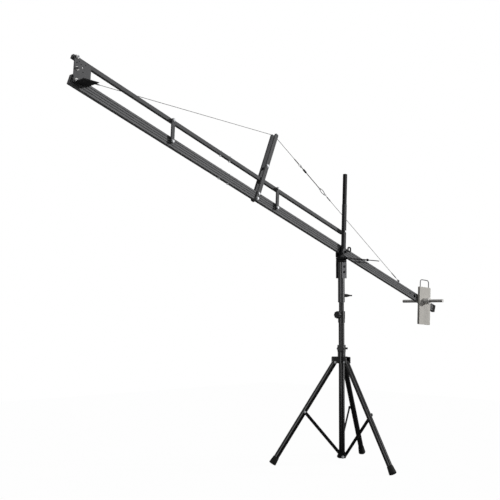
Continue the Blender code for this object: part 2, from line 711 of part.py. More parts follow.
def make_foot(number, leg, material):
    """A flared cap with its sole square to the leg, worn flat where it rests on the floor."""
    floor_on_axis = -LEG_HINGE_HEIGHT / math.cos(LEG_ANGLE)
    sole = -LEG_LENGTH - FIT - FOOT_SOLE
    top = sole + FOOT_LENGTH
    corner = FOOT_CORNER
    profile = [(0, top), (FOOT_DIA / 2, top)]
    profile += arc((FOOT_FLARE_DIA / 2 - corner, sole + corner), corner, 0, -90, CORNER_STEPS)
    profile.append((0, sole))
    socket = cylinder(LEG_DIA / 2 + FIT, (0, 0, -LEG_LENGTH - FIT), (0, 0, top + LAP), bore=True)
    wide = FOOT_FLARE_DIA
    below = box((-wide, wide), (-wide, wide), (-wide, 0))
    level = Matrix.Translation((0, 0, floor_on_axis)) @ Matrix.Rotation(LEG_ANGLE, 4, "Y")
    solid(f"foot_{number}", leg, material, turned(profile), [socket, placed(below, level)])


def make_brace(number, azimuth, origin, material):
    place = (0, 0, BRACE_PIVOT_HEIGHT)
    brace = frame(f"brace_{number}_hinge", place, (0, BRACE_ANGLE, math.radians(azimuth)), origin)
    outline = round_ended(0, BRACE_LENGTH, BRACE_WIDTH / 2)
    strap = prism(outline, (BRACE_INNER, BRACE_OUTER))
    head = cylinder(
        BOLT_HEAD,
        (0, BRACE_OUTER - LAP, BRACE_LENGTH),
        (0, BRACE_OUTER + SMALL_HEAD_THICK, BRACE_LENGTH),
        BOLT_SIDES,
    )
    hole = cross_hole((0, 0), BOLT, (BRACE_INNER - LAP, BRACE_OUTER + LAP))
    solid(f"brace_{number}", brace, material, strap, adds=[head], holes=[hole])


def make_knob(name, azimuth, height, clamped_dia, seat_dia, origin, material):
    """A round knob: its stem is at the collar that it sits in, its stud at the tube that it clamps."""
    knob = frame(f"{name}_axis", (0, 0, height), outward(azimuth), origin)
    inner = clamped_dia / 2 + FIT
    face = seat_dia / 2 + FIT
    head = face + KNOB_STEM_LENGTH
    chamfer = KNOB_CHAMFER
    profile = [
        (0, inner),
        (BOLT, inner),
        (BOLT, face),
        (KNOB_STEM_DIA / 2, face),
        (KNOB_STEM_DIA / 2, head),
        (KNOB_DIA / 2 - chamfer, head),
        (KNOB_DIA / 2, head + chamfer),
        (KNOB_DIA / 2, head + KNOB_THICK - chamfer),
        (KNOB_DIA / 2 - chamfer, head + KNOB_THICK),
        (0, head + KNOB_THICK),
    ]
    solid(name, knob, material, turned(profile))


def make_collar(origin, material):
    skirt_bore = TUBE_DIA / 2 + FIT
    pole_bore = POLE_DIA / 2 + FIT
    profile = [
        (skirt_bore, COLLAR_BOTTOM),
        (COLLAR_SKIRT_DIA / 2, COLLAR_BOTTOM),
        (COLLAR_SKIRT_DIA / 2, COLLAR_SHOULDER),
        (COLLAR_DIA / 2, COLLAR_SHOULDER),
        (COLLAR_DIA / 2, COLLAR_TOP),
        (pole_bore, COLLAR_TOP),
        (pole_bore, TUBE_TOP + FIT),
        (skirt_bore, TUBE_TOP + FIT),
    ]
    hole = radial_hole(POLE_LOCK_AZIMUTH, POLE_LOCK_HEIGHT, BOLT, POLE_DIA / 2 - LAP, COLLAR_DIA / 2 + LAP)
    solid("pole_collar", origin, material, turned(profile, TUBE_SIDES), holes=[hole])


# Column and pan joint

def make_column(origin, black, satin, grey, dark, plastic):
    pole = frame("pole_slide", (0, 0, COLLAR_TOP), parent=origin)
    base = COLLAR_TOP
    radius = POLE_DIA / 2
    profile = [
        (radius - POLE_WALL, POLE_BOTTOM - base),
        (radius, POLE_BOTTOM - base),
        (radius, POLE_TOP - base),
        (radius - POLE_WALL, POLE_TOP - base),
    ]
    solid("inner_pole", pole, black, turned(profile, TUBE_SIDES))
    sleeve = frame("column_turn", (0, 0, 0), parent=origin)
    body = cylinder(SLEEVE_DIA / 2, (0, 0, SLEEVE_BOTTOM), (0, 0, BRACKET_TOP), TUBE_SIDES)
    bore = tube_socket(radius, SLEEVE_BOTTOM - LAP, SLEEVE_BORE_TOP)
    wide = SLEEVE_DIA
    holes = [cross_hole((0, height), BOLT, (-wide, wide)) for height in BRACKET_BOLT_HEIGHTS]
    holes.append(radial_hole(CLAMP_LEVER_AZIMUTH, CLAMP_LEVER_HEIGHT, BOLT, radius - LAP, wide))
    solid("column_sleeve", sleeve, satin, body, [bore], holes=holes)
    make_clamp_lever(origin, plastic)
    half = BRACKET_WIDTH / 2
    for side, sign in (("near", -1), ("far", 1)):
        y_range = (sign * BRACKET_INNER, sign * BRACKET_OUTER)
        plate = box((-half, half), y_range, (BRACKET_BOTTOM, BRACKET_TOP))
        holes = [cross_hole((0, height), BOLT, (-wide, wide)) for height in BRACKET_BOLT_HEIGHTS]
        solid(f"bracket_plate_{side}", sleeve, grey, plate, holes=holes)
    for name, height in zip(("lower", "upper"), BRACKET_BOLT_HEIGHTS):
        face = BRACKET_OUTER + FIT
        solid(f"bracket_bolt_{name}", sleeve, dark, cross_bolt((0, height), -face, face))
    make_turntable(origin, dark)


def make_clamp_lever(origin, material):
    lever = frame("column_clamp_lever_axis", (0, 0, CLAMP_LEVER_HEIGHT), outward(CLAMP_LEVER_AZIMUTH), origin)
    face = SLEEVE_DIA / 2 + FIT
    end = face + CLAMP_LEVER_LENGTH
    profile = [
        (0, POLE_DIA / 2 + FIT),
        (BOLT, POLE_DIA / 2 + FIT),
        (BOLT, face),
        (CLAMP_LEVER_DIA / 2, face),
        (CLAMP_LEVER_DIA / 2, face + CLAMP_LEVER_BASE),
        (CLAMP_LEVER_TIP_DIA / 2, end - CLAMP_LEVER_TIP),
        (CLAMP_LEVER_TIP_DIA / 2, end),
        (0, end),
    ]
    solid("column_clamp_lever", lever, material, turned(profile, BOLT_SIDES))


def make_turntable(origin, material):
    radius = TURNTABLE_DIA / 2
    base = BRACKET_TOP + FIT
    round_off = RIM_ROUND
    profile = [
        (0, base),
        (radius - round_off, base),
        (radius, base + round_off),
        (radius, TURNTABLE_SPLIT - round_off),
        (radius - round_off, TURNTABLE_SPLIT),
        (TURNTABLE_PIN_DIA / 2 + FIT, TURNTABLE_SPLIT),
        (TURNTABLE_PIN_DIA / 2 + FIT, TURNTABLE_SPLIT - TURNTABLE_PIN_LENGTH),
        (0, TURNTABLE_SPLIT - TURNTABLE_PIN_LENGTH),
    ]
    solid("turntable_base", origin, material, turned(profile, TUBE_SIDES))
    pan = frame("pan_axis", (0, 0, TURNTABLE_SPLIT), parent=origin)
    bottom = FIT
    top = TURNTABLE_TOP - TURNTABLE_SPLIT
    profile = [
        (0, -TURNTABLE_PIN_LENGTH + FIT),
        (TURNTABLE_PIN_DIA / 2, -TURNTABLE_PIN_LENGTH + FIT),
        (TURNTABLE_PIN_DIA / 2, bottom),
        (radius - round_off, bottom),
        (radius, bottom + round_off),
        (radius, top - round_off),
        (radius - round_off, top),
        (0, top),
    ]
    boss_half = PAN_LEVER_BOSS_SIDE / 2
    height = PAN_LEVER_HEIGHT - TURNTABLE_SPLIT
    root = math.sqrt((radius - round_off) ** 2 - PAN_LEVER_BOSS_END ** 2) - LAP
    boss = box(
        (PAN_LEVER_BOSS_END - PAN_LEVER_BOSS_LENGTH, PAN_LEVER_BOSS_END),
        (-PAN_LEVER_Y - boss_half, -root),
        (height - boss_half, height + boss_half),
    )
    lever_hole = cylinder(
        SMALL_BOLT + FIT,
        (PAN_LEVER_START - FIT, -PAN_LEVER_Y, height),
        (PAN_LEVER_BOSS_END + LAP, -PAN_LEVER_Y, height),
        BOLT_SIDES,
        bore=True,
    )
    solid("turntable_top", pan, material, turned(profile, TUBE_SIDES), adds=[boss], holes=[lever_hole])
    lever = frame("pan_lever_axis", (0, -PAN_LEVER_Y, height), (0, math.pi / 2, 0), pan)
    grip = PAN_LEVER_DIA / 2
    bulb = PAN_LEVER_BULB_DIA / 2
    thin = PAN_LEVER_TIP_DIA / 2
    profile = [
        (0, PAN_LEVER_START),
        (SMALL_BOLT, PAN_LEVER_START),
        (SMALL_BOLT, PAN_LEVER_BOSS_END + FIT),
        (grip, PAN_LEVER_BOSS_END + FIT),
        (grip, PAN_LEVER_BULB - bulb),
        (bulb, PAN_LEVER_BULB - bulb / 2),
        (bulb, PAN_LEVER_BULB + bulb / 2),
        (thin, PAN_LEVER_BULB + bulb),
        (thin, PAN_LEVER_END),
        (0, PAN_LEVER_END),
    ]
    solid("pan_lever", lever, material, turned(profile, BOLT_SIDES))


# Tilt head and mast

def make_tilt_head(origin, grey, dark, silver):
    head = frame("tilt_axis", (FULCRUM_X, 0, FULCRUM_HEIGHT), parent=origin)
    half = YOKE_LENGTH / 2
    base_top = YOKE_BASE_BOTTOM + YOKE_BASE_THICK
    base = box((-half, half), (-YOKE_OUTER, YOKE_OUTER), (YOKE_BASE_BOTTOM, base_top))
    cheek_bottom = YOKE_BASE_BOTTOM + SINK
    cheek = [(-half, cheek_bottom), (half, cheek_bottom)] + arc((0, 0), half, 0, 180)
    cheeks = [prism(cheek, (sign * YOKE_INNER, sign * YOKE_OUTER)) for sign in (-1, 1)]
    brake = -raked(BRAKE_DROP)
    holes = [
        cross_hole((0, 0), AXLE_DIA / 2, (-ARM_HEIGHT, ARM_HEIGHT)),
        cross_hole((brake.x, brake.z), BOLT, (-ARM_HEIGHT, 0)),
    ]
    solid("yoke", head, dark, base, adds=cheeks, holes=holes)
    far = YOKE_OUTER + FIT
    near = MAST_NEAR + MAST_WALL + FIT
    axle = stepped_pin(((0, near), (AXLE_DIA / 2, far), (AXLE_HEAD_DIA / 2, far + AXLE_HEAD_THICK)))
    solid("tilt_axle", head, silver, axle)
    make_mast(head, grey, dark, silver)
    make_brake(head, brake, grey, dark)


def make_mast(head, grey, dark, silver):
    mast = frame("mast_lean", turn=(0, RAKE, 0), parent=head)
    half = MAST_SIZE / 2
    inner = half - MAST_WALL
    y_outer = (MAST_NEAR, MAST_FAR)
    y_inner = (MAST_NEAR + MAST_WALL, MAST_FAR - MAST_WALL)
    body = box((-half, half), y_outer, (MAST_BOTTOM, MAST_SPLIT))
    hollow = box((-inner, inner), y_inner, (MAST_BOTTOM - LAP, MAST_SPLIT + LAP))
    holes = [
        cross_hole((0, 0), AXLE_DIA / 2, (MAST_MIDDLE, 0)),
        cross_hole((0, -BRAKE_DROP), BOLT, (MAST_NEAR - LAP, 0)),
        cross_hole((0, BAR_SPACING), BOLT, (MAST_NEAR - LAP, 0)),
    ]
    solid("mast", mast, grey, body, [hollow], holes=holes)
    upper = EXTENSION_SIZE / 2
    y_upper = (MAST_MIDDLE - upper, MAST_MIDDLE + upper)
    body = box((-upper, upper), y_upper, (MAST_SPLIT + FIT, MAST_TOP))
    upper -= MAST_WALL
    y_upper = (MAST_MIDDLE - upper, MAST_MIDDLE + upper)
    hollow = box((-upper, upper), y_upper, (MAST_SPLIT + SPIGOT_FLOOR, MAST_TOP + LAP))
    spigot_y = (y_inner[0] + FIT, y_inner[1] - FIT)
    spigot = box((-inner + FIT, inner - FIT), spigot_y, (MAST_SPLIT - SPIGOT_LENGTH, MAST_SPLIT + LAP))
    solid("mast_extension", mast, dark, body, [hollow], [spigot])
    bar_face = BAR_WIDTH / 2 + FIT
    steps = (
        (0, MAST_NEAR - FIT - BOLT_HEAD_THICK),
        (BOLT_HEAD, MAST_NEAR - FIT),
        (BOLT, MAST_FAR + FIT),
        (SPACER_DIA / 2, -bar_face),
        (BOLT, bar_face),
        (BOLT_HEAD, bar_face + NUT_THICK),
    )
    pivot = placed(stepped_pin(steps), Matrix.Translation((0, 0, BAR_SPACING)))
    solid("mast_pivot_bolt", mast, silver, pivot)


def make_brake(head, brake, grey, dark):
    """The tilt brake: a disc on a stud that reaches the arm's side, and its looped handle."""
    disc_face = MAST_NEAR - FIT
    outer = disc_face - BRAKE_DISC_THICK
    stud_end = outer - FIT - HANDLE_HUB_LENGTH / 2
    axis = frame("brake_axis", brake, parent=head)
    steps = (
        (0, stud_end),
        (BOLT, outer),
        (BRAKE_DISC_DIA / 2, disc_face),
        (BOLT, -ARM_WIDTH / 2 - FIT),
    )
    solid("brake_disc", axis, grey, stepped_pin(steps, FITTING_SIDES))
    hub_ends = ((0, outer - FIT - HANDLE_HUB_LENGTH, 0), (0, outer - FIT, 0))
    hub = cylinder(HANDLE_HUB_DIA / 2, *hub_ends, BOLT_SIDES)
    way = Vector((math.cos(math.radians(HANDLE_ANGLE)), 0, math.sin(math.radians(HANDLE_ANGLE))))
    middle = Vector((0, outer - FIT - HANDLE_HUB_LENGTH / 2, 0))
    loop_middle = middle + way * HANDLE_ARM
    reach = HANDLE_ARM - HANDLE_LOOP_HALF
    arm = cylinder(HANDLE_THICK / 2, middle, middle + way * reach, ROD_SIDES)
    corner = HANDLE_LOOP_CORNER
    inset = HANDLE_LOOP_HALF - corner
    square = [
        point
        for x, z, start in ((inset, inset, 0), (-inset, inset, 90), (-inset, -inset, 180), (inset, -inset, 270))
        for point in arc((x, z), corner, start, start + 90, CORNER_STEPS)
    ]
    loop = [loop_middle + Vector((x, 0, z)) for x, z in square]
    loop = rod(loop, HANDLE_LOOP_DIA / 2, closed=True, sides=WIRE_SIDES)
    socket = cylinder(BOLT + FIT, (0, stud_end - FIT, 0), (0, outer + LAP, 0), BOLT_SIDES, bore=True)
    solid("tilt_lock_handle", axis, dark, hub, adds=[arm, loop], holes=[socket])


# Arm

def hollow_bar(s_range, width, height, wall):
    """The outer shape of a rectangular tube along X and the cutter of its inside."""
    outer = box(s_range, (-width / 2, width / 2), (-height / 2, height / 2))
    past = (min(s_range) - LAP, max(s_range) + LAP)
    inner = box(past, (-width / 2 + wall, width / 2 - wall), (-height / 2 + wall, height / 2 - wall))
    return outer, inner


def upright_holes(places, radius, height):
    return [cylinder(radius + FIT, (s, 0, -height), (s, 0, height), ROD_SIDES, bore=True) for s in places]


def splice_bolts(places, height, shank, head, thick):
    """Bolts that run from the top of a bar to its bottom, each with a head at both faces."""
    face = height / 2 + FIT
    profile = [
        (0, -face - thick),
        (head, -face - thick),
        (head, -face),
        (shank, -face),
        (shank, face),
        (head, face),
        (head, face + thick),
        (0, face + thick),
    ]
    return [placed(turned(profile, ROD_SIDES), Matrix.Translation((s, 0, 0))) for s in places]


def make_main_arm(arm, grey, plastic, silver):
    bolts = [ARM_SPLIT + sign * SPLICE_BOLT_SPACING / 2 for sign in (-1, 1)]
    across = (-ARM_WIDTH, ARM_WIDTH)
    section = (ARM_WIDTH, ARM_HEIGHT, ARM_WALL)
    outer, inner = hollow_bar((ARM_FRONT + CAP_THICK + FIT, ARM_SPLIT - FIT / 2), *section)
    lug_y = (ARM_WIDTH / 2 - LAP / 2, ARM_WIDTH / 2 + FRONT_LUG_THICK)
    lug = stay_lug(FRONT_LUG_AT, lug_y, FRONT_LUG_BOTTOM, FRONT_LUG_UP)
    holes = [cross_hole((place, 0), BOLT, across) for place in (HEAD_PIVOT, LINK_PIVOTS[0])]
    holes += upright_holes(bolts[:1], SMALL_BOLT, ARM_HEIGHT)
    holes.append(cross_hole((FRONT_LUG_AT, FRONT_LUG_UP), LUG_HOLE, (0, ARM_HEIGHT)))
    solid("main_arm_front", arm, grey, outer, [inner], [lug], holes)
    outer, inner = hollow_bar((ARM_SPLIT + FIT / 2, ARM_REAR - CAP_THICK - FIT), *section)
    half = REAR_LUG_THICK / 2
    lug = stay_lug(REAR_LUG_AT, (-half, half), ARM_HEIGHT / 2 - LAP / 2, REAR_LUG_UP)
    holes = [
        cross_hole((0, 0), AXLE_DIA / 2, across),
        cross_hole((LINK_PIVOTS[1], 0), BOLT, across),
        cross_hole((WEIGHT_AT, 0), WEIGHT_BAR_DIA / 2, across, FITTING_SIDES),
        cross_hole((REAR_LUG_AT, REAR_LUG_UP), LUG_HOLE, across),
    ]
    holes += [cross_hole(on_king(up), BOLT, across) for up in KING_ARM_BOLTS]
    holes += [cross_hole((place, 0), radius, (-ARM_WIDTH, 0)) for place, radius in REAR_HOLES]
    holes += upright_holes(bolts[1:], SMALL_BOLT, ARM_HEIGHT)
    solid("main_arm_rear", arm, grey, outer, [inner], [lug], holes)
    make_splice("main_arm_splice", arm, silver, ARM_SPLIT, ARM_SPLICE_LENGTH, bolts, section, ARM_SPLICE_WALL)
    for name, end, sign in (("main_arm_front_cap", ARM_FRONT, 1), ("main_arm_rear_cap", ARM_REAR, -1)):
        make_cap(name, arm, plastic, end, sign, section)


def stay_lug(place, y_range, bottom, hole_up):
    """An upright ear for a wire's eye, with a round top about its hole."""
    half = LUG_LENGTH / 2
    outline = [(place - half, bottom), (place + half, bottom)] + arc((place, hole_up), half, 0, 180)
    return prism(outline, y_range)


def make_splice(name, parent, material, middle, length, bolts, section, sleeve_wall=None):
    """The inner bar, or sleeve if it has a wall, that joins two halves of a bar, with its bolts."""
    width, height, wall = section
    half_y = width / 2 - wall - FIT
    half_z = height / 2 - wall - FIT
    body = box((middle - length / 2, middle + length / 2), (-half_y, half_y), (-half_z, half_z))
    cuts = []
    if sleeve_wall:
        inside_y = half_y - sleeve_wall
        inside_z = half_z - sleeve_wall
        cuts.append(box((middle - length, middle + length), (-inside_y, inside_y), (-inside_z, inside_z)))
    pins = splice_bolts(bolts, height, SMALL_BOLT, SMALL_HEAD, SMALL_HEAD_THICK)
    solid(name, parent, material, body, cuts, pins)


def make_cap(name, parent, material, end, sign, section):
    """An end cap: a plate flush with the bar's outside and a plug in its bore."""
    width, height, wall = section
    plate = box((end, end + sign * CAP_THICK), (-width / 2, width / 2), (-height / 2, height / 2))
    half_y = width / 2 - wall - FIT
    half_z = height / 2 - wall - FIT
    plug = box((end + sign * LAP / 2, end + sign * CAP_PLUG), (-half_y, half_y), (-half_z, half_z))
    solid(name, parent, material, plate, adds=[plug])


def make_upper_bar(bar, grey, plastic, silver):
    bolts = [BAR_SPLIT + sign * SPLICE_BOLT_SPACING / 2 for sign in (-1, 1)]
    front = HEAD_PIVOT - BAR_OVERHANG
    across = (-BAR_WIDTH, BAR_WIDTH)
    section = (BAR_WIDTH, BAR_HEIGHT, BAR_WALL)
    outer, inner = hollow_bar((front + CAP_THICK + FIT, BAR_SPLIT - FIT / 2), *section)
    holes = [cross_hole((place, 0), BOLT, across) for place in (HEAD_PIVOT, LINK_PIVOTS[0])]
    holes += upright_holes(bolts[:1], SMALL_BOLT, BAR_HEIGHT)
    solid("upper_bar_front", bar, grey, outer, [inner], holes=holes)
    outer, inner = hollow_bar((BAR_SPLIT + FIT / 2, BAR_OVERHANG), *section)
    holes = [cross_hole((place, 0), BOLT, across) for place in (LINK_PIVOTS[1], 0)]
    holes += upright_holes(bolts[1:], SMALL_BOLT, BAR_HEIGHT)
    solid("upper_bar_rear", bar, grey, outer, [inner], holes=holes)
    make_splice("upper_bar_splice", bar, silver, BAR_SPLIT, BAR_SPLICE_LENGTH, bolts, section)
    make_cap("upper_bar_front_cap", bar, plastic, front, 1, section)


def pivot_pin(bar_width, outer_face, back_face, gap):
    """A pivot bolt through a bar: head and washer outside, spacer between, nut on the far side."""
    bar_face = bar_width / 2 + FIT
    steps = (
        (0, -outer_face - gap - WASHER_THICK - PIVOT_HEAD_THICK),
        (BOLT_HEAD, -outer_face - gap - WASHER_THICK),
        (WASHER_DIA / 2, -outer_face - gap),
        (BOLT, -back_face + gap),
        (SPACER_DIA / 2, -bar_face),
        (BOLT, bar_face),
        (BOLT_HEAD, bar_face + NUT_THICK),
    )
    return stepped_pin(steps)


def make_links(origin, dark):
    for name, place in zip(("front", "rear"), LINK_PIVOTS):
        link = frame(f"link_{name}_hinge", on_arm(place), (0, RAKE, 0), origin)
        strap = prism(round_ended(0, BAR_SPACING, LINK_WIDTH / 2), (-LINK_FRONT, -LINK_BACK))
        lower = pivot_pin(ARM_WIDTH, LINK_FRONT, LINK_BACK, -SINK)
        upper = pivot_pin(BAR_WIDTH, LINK_FRONT, LINK_BACK, -SINK)
        upper = placed(upper, Matrix.Translation((0, 0, BAR_SPACING)))
        solid(f"link_{name}", link, dark, strap, adds=[lower, upper])


def make_camera_end(origin, plate_finish, tray_finish, silver):
    head = frame("head_hinge", on_arm(HEAD_PIVOT), (0, RAKE, 0), origin)
    face = LINK_BACK + PLATE_THICK
    corner = PLATE_CORNER
    outline = arc((PLATE_FRONT + corner, PLATE_TOP - corner), corner, 90, 180, CORNER_STEPS)
    outline += [(PLATE_FRONT, PLATE_BOTTOM), (PLATE_REAR, PLATE_BOTTOM), (PLATE_REAR, PLATE_REAR_TOP)]
    outline.append((PLATE_REAR - corner, PLATE_REAR_TOP + corner / 2))
    plate = prism(outline, (-face, -LINK_BACK))
    through = (-face - LAP, -LINK_BACK + LAP)
    holes = [cross_hole((0, up), BOLT, through) for up in (0, BAR_SPACING)]
    holes.append(cross_hole(PLATE_HOLE, BOLT, through))
    holes += [cross_hole(at, SMALL_HOLE_DIA / 2, through, ROD_SIDES) for at in PLATE_SMALL_HOLES]
    middle_bolt = stepped_pin((
        (0, -face - WASHER_THICK - PIVOT_HEAD_THICK),
        (BOLT_HEAD, -face - WASHER_THICK),
        (WASHER_DIA / 2, -face + LAP / 2),
    ))
    middle_bolt = placed(middle_bolt, Matrix.Translation((0, 0, PLATE_BOLT_UP)))
    solid("head_plate", head, plate_finish, plate, adds=[middle_bolt], holes=holes)
    for name, up, width in (("lower", 0, ARM_WIDTH), ("upper", BAR_SPACING, BAR_WIDTH)):
        pin = placed(pivot_pin(width, face, LINK_BACK, FIT), Matrix.Translation((0, 0, up)))
        solid(f"head_pivot_bolt_{name}", head, silver, pin)
    near = face + FIT
    tray = box((TRAY_FRONT, TRAY_REAR), (-near - TRAY_DEPTH, -near), (-TRAY_DROP, -TRAY_DROP + TRAY_THICK))
    flange_top = -TRAY_DROP + FLANGE_HEIGHT
    flange = box((FLANGE_FRONT, TRAY_REAR - LAP), (-near - TRAY_THICK, -near), (-TRAY_DROP + LAP, flange_top))
    solid("camera_tray", head, tray_finish, tray, adds=[flange])


def make_king_post(arm, grey, dark):
    post = frame("king_post_lean", (KING_AT, 0, 0), (0, KING_LEAN, 0), arm)
    half = KING_HALF
    corner = KING_CORNER
    outline = [(-half, KING_LEG_BOTTOM + corner), (-half + corner, KING_LEG_BOTTOM)]
    outline += [(half - corner, KING_LEG_BOTTOM), (half, KING_LEG_BOTTOM + corner)]
    outline += [(half, KING_LEG_TOP - corner), (half - corner, KING_LEG_TOP)]
    outline += [(-half + corner, KING_LEG_TOP), (-half, KING_LEG_TOP - corner)]
    across = (-2 * KING_OUTER, 2 * KING_OUTER)
    near = prism(outline, (-KING_OUTER, -KING_INNER))
    holes = [cross_hole((0, up), BOLT, across) for up in (*KING_ARM_BOLTS, KING_WEB_BOLT)]
    solid("king_leg_near", post, grey, near, holes=holes)
    far = prism(outline, (KING_INNER, KING_OUTER))
    face = KING_OUTER + FIT
    studs = []
    for up in KING_ARM_BOLTS:
        steps = ((0, -face - BOLT_HEAD_THICK), (BOLT_HEAD, -face), (BOLT, KING_INNER + LAP))
        studs.append(placed(stepped_pin(steps), Matrix.Translation((0, 0, up))))
    web_hole = cross_hole((0, KING_WEB_BOLT), BOLT, across)
    solid("king_leg_far", post, grey, far, [web_hole], studs)
    outline = [(-half, KING_WEB_BOTTOM), (half, KING_WEB_BOTTOM)]
    outline += arc((0, KING_SADDLE - half), half, 0, 180)
    web = prism(outline, (-KING_INNER + FIT, KING_INNER - FIT))
    bolt = cross_bolt((0, KING_WEB_BOLT), -face, face)
    solid("king_web", post, dark, web, adds=[bolt])


# Wire stays, in the arm's frame

def eye(middle, along, radius=EYE_RADIUS, thick=WIRE):
    """A closed wire loop in the plane of the wire and the Y axis."""
    along = Vector(along).normalized()
    across = Vector((0, 1, 0))
    across = (across - along * across.dot(along)).normalized()
    turns = [2 * math.pi * k / EYE_STEPS for k in range(EYE_STEPS)]
    loop = [Vector(middle) + radius * (along * math.cos(a) + across * math.sin(a)) for a in turns]
    return rod(loop, thick, closed=True, sides=WIRE_SIDES)


def make_stays(arm, steel, silver):
    saddle_s, saddle_n = on_king(KING_SADDLE - KING_HALF)
    saddle = Vector((saddle_s, 0, saddle_n))
    wrap = KING_HALF + FIT + WIRE
    front_hole = Vector((FRONT_LUG_AT, ARM_WIDTH / 2 + FRONT_LUG_THICK / 2, FRONT_LUG_UP))
    rear_hole = Vector((REAR_LUG_AT, 0, REAR_LUG_UP))
    # The wire leaves the saddle's arc where its slope to each lug is tangent
    front_way = (front_hole - saddle).normalized()
    rear_way = (rear_hole - saddle).normalized()
    front_turn = math.atan2(-front_way.z, -front_way.x) + math.pi / 2
    rear_turn = math.atan2(rear_way.z, rear_way.x) + math.pi / 2
    bend = [
        saddle + wrap * Vector((math.cos(angle), 0, math.sin(angle)))
        for angle in (front_turn + (rear_turn - front_turn) * k / 3 for k in range(4))
    ]
    rear_start = bend[-1]
    rear_way = (rear_hole - rear_start).normalized()
    front_way = (front_hole - bend[0]).normalized()

    def on_rear(distance):
        return rear_start + rear_way * distance

    hang = EYE_RADIUS - WIRE - FIT
    front_eye = front_hole - front_way * hang
    grip = WIRE + TURNBUCKLE_EYE_DIA / 2 + FIT
    end_eye = on_rear(TURNBUCKLE_EYE_AT - TURNBUCKLE_EYE_RADIUS + grip - EYE_RADIUS)
    front_end = front_eye - front_way * EYE_RADIUS
    wire = rod([front_end] + bend + [end_eye - rear_way * EYE_RADIUS], WIRE)
    sleeve = [front_end - front_way * distance for distance in FRONT_CRIMP]
    crimps = [
        cylinder(CRIMP_DIA / 2, *sleeve, ROD_SIDES),
        cylinder(CRIMP_DIA / 2, on_rear(STAY_CRIMP[0]), on_rear(STAY_CRIMP[1]), ROD_SIDES),
    ]
    eyes = [eye(front_eye, front_way), eye(end_eye, rear_way)]
    solid("front_stay", arm, steel, wire, adds=crimps + eyes)
    make_turnbuckle(arm, on_rear, rear_way, silver)
    rear_eye = rear_hole - rear_way * hang
    first_eye = on_rear(HOOK_ENDS[1] - HOOK_ROD_DIA / 2 - WIRE - FIT + EYE_RADIUS)
    wire = rod([first_eye + rear_way * EYE_RADIUS, rear_eye - rear_way * EYE_RADIUS], WIRE)
    sleeve = [rear_hole - rear_way * distance for distance in REAR_END_CRIMP]
    crimps = [
        cylinder(CRIMP_DIA / 2, on_rear(REAR_CRIMP[0]), on_rear(REAR_CRIMP[1]), ROD_SIDES),
        cylinder(CRIMP_DIA / 2, *sleeve, ROD_SIDES),
    ]
    eyes = [eye(first_eye, rear_way), eye(rear_eye, rear_way)]
    solid("rear_stay", arm, steel, wire, adds=crimps + eyes)


def make_turnbuckle(arm, on_rear, way, material):
    """The tensioner: a body with a threaded rod, an eye at each end, and a snap hook."""
    square = Vector((0, 1, 0)).cross(way).normalized()

    def upright_loop(middle, half_length, half_width, thick):
        turns = [2 * math.pi * k / RING_STEPS for k in range(RING_STEPS)]
        points = [middle + way * half_length * math.cos(a) + square * half_width * math.sin(a) for a in turns]
        return rod(points, thick, closed=True, sides=WIRE_SIDES)

    radius = TURNBUCKLE_EYE_RADIUS
    thick = TURNBUCKLE_EYE_DIA / 2
    first = on_rear(TURNBUCKLE_EYE_AT)
    last = on_rear(HOOK_ENDS[0] + HOOK_ROD_DIA / 2 + thick + FIT - radius)
    body_ends = (on_rear(TURNBUCKLE_BODY_START), on_rear(TURNBUCKLE_BODY_END))
    body = cylinder(TURNBUCKLE_BODY_DIA / 2, *body_ends, BOLT_SIDES)
    bar = cylinder(TURNBUCKLE_ROD_DIA / 2, first + way * radius, last - way * radius, ROD_SIDES)
    loops = [upright_loop(first, radius, radius, thick), eye(last, way, radius, thick)]
    solid("turnbuckle", arm, material, bar, adds=[body] + loops)
    middle = (on_rear(HOOK_ENDS[0]) + on_rear(HOOK_ENDS[1])) / 2
    half = (HOOK_ENDS[1] - HOOK_ENDS[0]) / 2
    hook = upright_loop(middle, half, HOOK_HALF_WIDTH, HOOK_ROD_DIA / 2)
    solid("snap_hook", arm, material, hook)


# Weights

